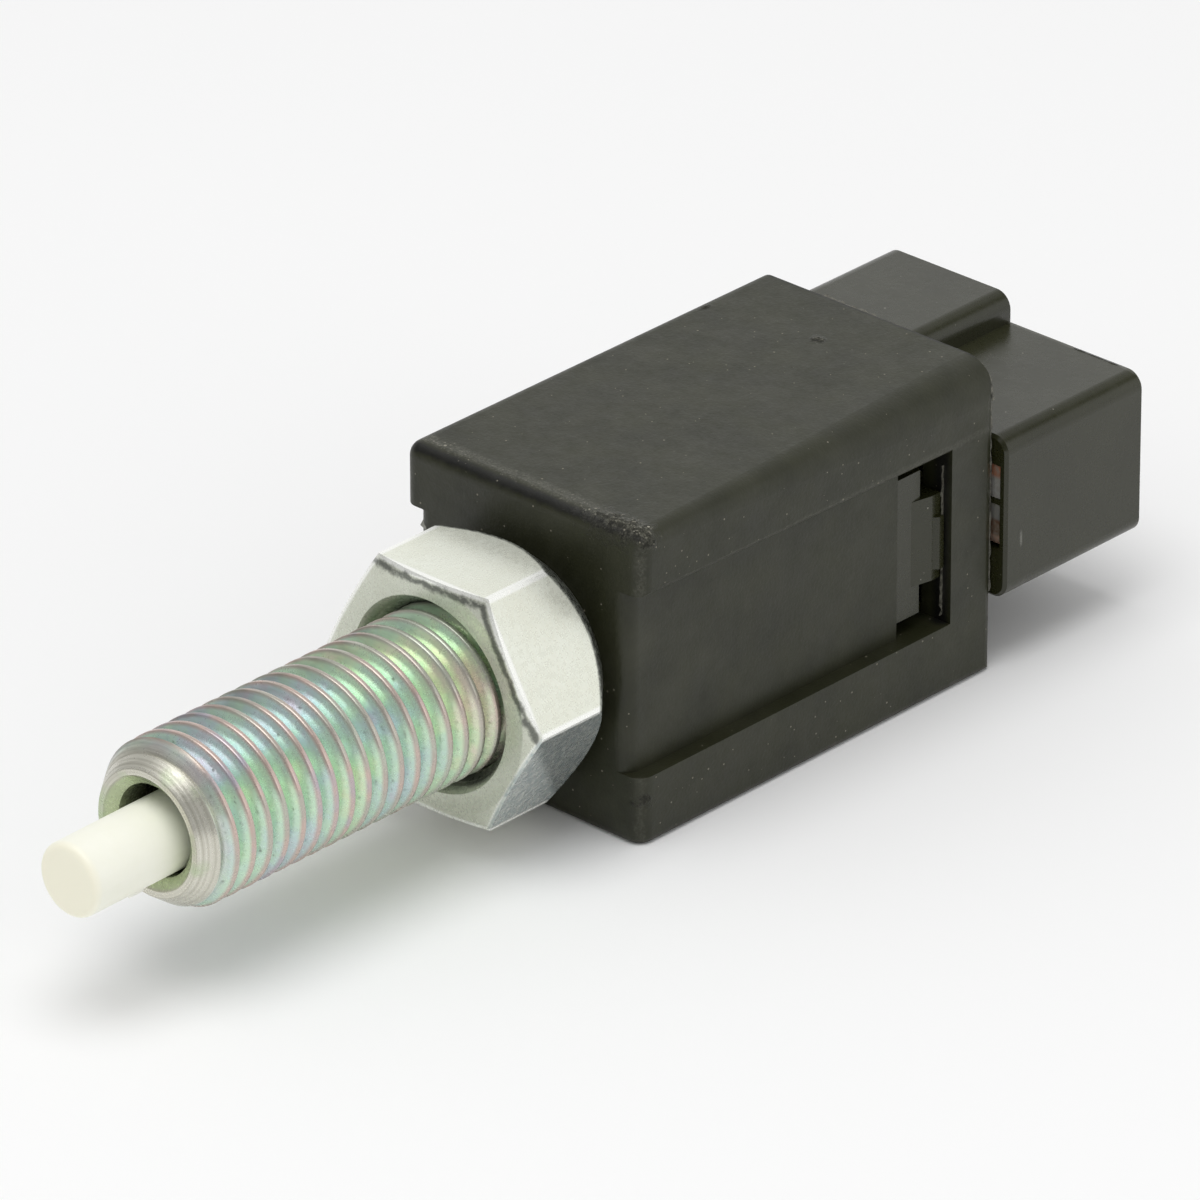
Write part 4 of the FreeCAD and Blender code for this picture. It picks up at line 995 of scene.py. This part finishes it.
class SWITCH_OT_flash(bpy.types.Operator):
    """Add the ragged flash left at the edges of the mouldings"""
    bl_idname = "switch.flash"
    bl_label = "Moulding flash"

    def execute(self, context):
        case = bpy.data.materials["case_plastic"]
        base = bpy.data.materials["base_plastic"]
        ivory = bpy.data.materials["ivory_plastic"]
        pale = flash_plastic()
        across, back, up = (1, 0, 0), (0, 1, 0), (0, 0, 1)
        half = CASE_HALF_WIDTH / MM
        length = (CASE_HIGH.y - CASE_FRONT) / MM
        top = (CASE_HIGH.z - AXIS_HEIGHT) / MM
        rim = top - 0.15
        window_wall = half - 0.63
        shroud_end = (BASE_HIGH.y - CASE_FRONT) / MM
        strips = [
            ("rear_rim_flash", spot(-2.2, length + 0.16, rim), across, back, 3.8, 0.4, 3, pale, 0.28),
            ("rear_rim_edge", spot(3.1, length + 0.06, rim), across, back, 6.8, 0.18, 11, pale),
        ]
        # The long upper edge is rounded at the rear, and the flash follows it round
        bend = 2.2
        inset = 0.22
        upright = 0.7
        for step in range(3):
            angle = math.radians(75 - 30 * step)
            sideways = half - bend + (bend - inset) * math.cos(angle)
            height = top - bend + (bend - inset) * math.sin(angle)
            past = max(0, sideways - half + upright)
            recess = upright - math.sqrt(upright ** 2 - past ** 2)
            strips.append((
                f"rear_bend_flash_{step + 1}", spot(sideways, length + 0.06 - recess, height),
                (-math.sin(angle), 0, math.cos(angle)), back, 1.15, 0.18, 20 + step, pale))
        strips += [
            ("rear_corner_flash", spot(-8.1, length + 0.1, 9.3), across, back, 0.7, 0.4, 5, case),
            ("notch_spike", spot(-7.3, 0.25, 5.2), across, (0, -0.4, -1), 0.4, 0.7, 8, case),
            ("window_flash", spot(window_wall, length - 3.64, 0), up, (0, -1, 0), 9.2, 0.2, 2, pale),
            ("rear_edge_flash", spot(half - 0.3, length - 0.08, 1.4), up, (0.3, 1, 0), 11.6, 0.16, 6,
             pale),
        ]
        for strip in strips:
            ragged_strip(*strip)
        ragged_strip("shroud_flash", spot(6.3, shroud_end - 0.12, 5.18), across, up, 3.4, 0.1, 4, base,
                     slot="base_plastic")
        ragged_strip("plunger_flash", spot(1.306, -31.0, -2.17), back, (0.602, 0, -0.798), 1.1, 0.16,
                     7, ivory, body="plunger", slot="ivory_plastic")
        return {"FINISHED"}


class SWITCH_OT_stage(bpy.types.Operator):
    """Lay the floor, hang the lamps and set the camera"""
    bl_idname = "switch.stage"
    bl_label = "Stage"

    def execute(self, context):
        settings = context.scene.switch_stage
        bpy.ops.mesh.primitive_plane_add(size=3, location=(0, 0, 0))
        floor = bpy.context.active_object
        floor.name = "floor"
        material, _, shader = new_material("floor")
        shader.inputs["Base Color"].default_value = (0.96, 0.96, 0.96, 1)
        shader.inputs["Roughness"].default_value = 0.9
        floor.data.materials.append(material)

        world = bpy.data.worlds.new("studio")
        world.use_nodes = True
        nodes = Nodes(world.node_tree)
        path = nodes.add("LightPath")
        background = world.node_tree.nodes["Background"]
        background.inputs[0].default_value = (1, 1, 1, 1)
        # Glossy surfaces see a backdrop, a bright cloth overhead, and dim sides
        way = nodes.parts(nodes.add("TexCoord").outputs["Generated"])
        backdrop = nodes.times(nodes.band(way[1], 0.0, 0.4), nodes.band(way[2], 0.64, 0.52))
        overhead = nodes.band(way[2], 0.7, 0.85)
        upper_right = nodes.times(nodes.band(way[2], 0.48, 0.58), nodes.band(way[0], 0.0, 0.3))
        sides = nodes.times(nodes.band(way[1], -0.5, 0.1, 0.15, 0.5),
                            nodes.band(upper_right, 0, 1, 1.0, 0.2))
        sky = nodes.most(backdrop, overhead, sides)
        camera_ray = path.outputs["Is Camera Ray"]
        seen = nodes.most(camera_ray, path.outputs["Is Glossy Ray"])
        strength = nodes.band(seen, 0, 1, 0.6, sky)
        nodes.feed(background.inputs[1], nodes.most(strength, camera_ray))
        context.scene.world = world

        lamp_distance = 0.6
        for name, azimuth, elevation, energy, size in (
            ("key_lamp", 20, 80, 1.7, 0.5),
            ("fill_lamp", 100, 20, 0.2, 0.3),
        ):
            lamp = bpy.data.lights.new(name, "AREA")
            lamp.energy = energy
            lamp.size = size
            lamp.shape = "DISK"
            holder = bpy.data.objects.new(name, lamp)
            context.scene.collection.objects.link(holder)
            across, up = math.radians(azimuth), math.radians(elevation)
            back = Vector((math.sin(across) * math.cos(up), -math.cos(across) * math.cos(up),
                           math.sin(up)))
            holder.location = on_axis(0) + back * lamp_distance
            holder.rotation_euler = (-back).to_track_quat("-Z", "Y").to_euler()

        a, e, r = settings.azimuth, settings.elevation, settings.roll
        level = Vector((math.cos(a), math.sin(a), 0))
        ahead = Vector((-math.sin(a) * math.cos(e), math.cos(a) * math.cos(e), -math.sin(e)))
        below = ahead.cross(level)
        right = math.cos(r) * level + math.sin(r) * below
        down = -math.sin(r) * level + math.cos(r) * below
        per_pixel = settings.distance / settings.focal_pixels
        middle = settings.photo_size / 2
        place = (on_axis(0) - ahead * settings.distance
                 - right * (settings.datum_across - middle) * per_pixel
                 - down * (settings.datum_down - middle) * per_pixel)
        data = bpy.data.cameras.new("camera")
        data.lens = data.sensor_width * settings.focal_pixels / settings.photo_size
        data.clip_start = 0.01
        data.clip_end = 10
        camera = bpy.data.objects.new("camera", data)
        context.scene.collection.objects.link(camera)
        turned = Matrix((right, -down, -ahead)).transposed()
        camera.matrix_world = Matrix.Translation(place) @ turned.to_4x4()
        context.scene.camera = camera
        context.scene.view_settings.view_transform = "Standard"
        return {"FINISHED"}


class SWITCH_PT_panel(bpy.types.Panel):
    """Lists the steps that build the switch"""
    bl_idname = "SWITCH_PT_panel"
    bl_label = "Clutch switch"
    bl_space_type = "VIEW_3D"
    bl_region_type = "UI"
    bl_category = "Switch"

    def draw(self, context):
        for operator in OPERATORS:
            self.layout.operator(operator.bl_idname)


SETTINGS = (
    ("switch_barrel", BarrelSettings),
    ("switch_nut", NutSettings),
    ("switch_springs", SpringSettings),
    ("switch_stage", StageSettings),
)
OPERATORS = (
    SWITCH_OT_effects,
    SWITCH_OT_barrel,
    SWITCH_OT_nut,
    SWITCH_OT_springs,
    SWITCH_OT_mouldings,
    SWITCH_OT_contacts,
    SWITCH_OT_flash,
    SWITCH_OT_stage,
)


def register():
    for name, group in SETTINGS:
        bpy.utils.register_class(group)
        setattr(bpy.types.Scene, name, bpy.props.PointerProperty(type=group))
    for operator in OPERATORS:
        bpy.utils.register_class(operator)
    bpy.utils.register_class(SWITCH_PT_panel)


def unregister():
    bpy.utils.unregister_class(SWITCH_PT_panel)
    for operator in reversed(OPERATORS):
        bpy.utils.unregister_class(operator)
    for name, group in reversed(SETTINGS):
        delattr(bpy.types.Scene, name)
        bpy.utils.unregister_class(group)


def main():
    register()
    bpy.ops.switch.effects()
    bpy.ops.switch.barrel()
    bpy.ops.switch.nut()
    bpy.ops.switch.springs()
    bpy.ops.switch.mouldings()
    bpy.ops.switch.contacts()
    bpy.ops.switch.flash()
    bpy.ops.switch.stage()


if __name__ == "__main__":
    main()
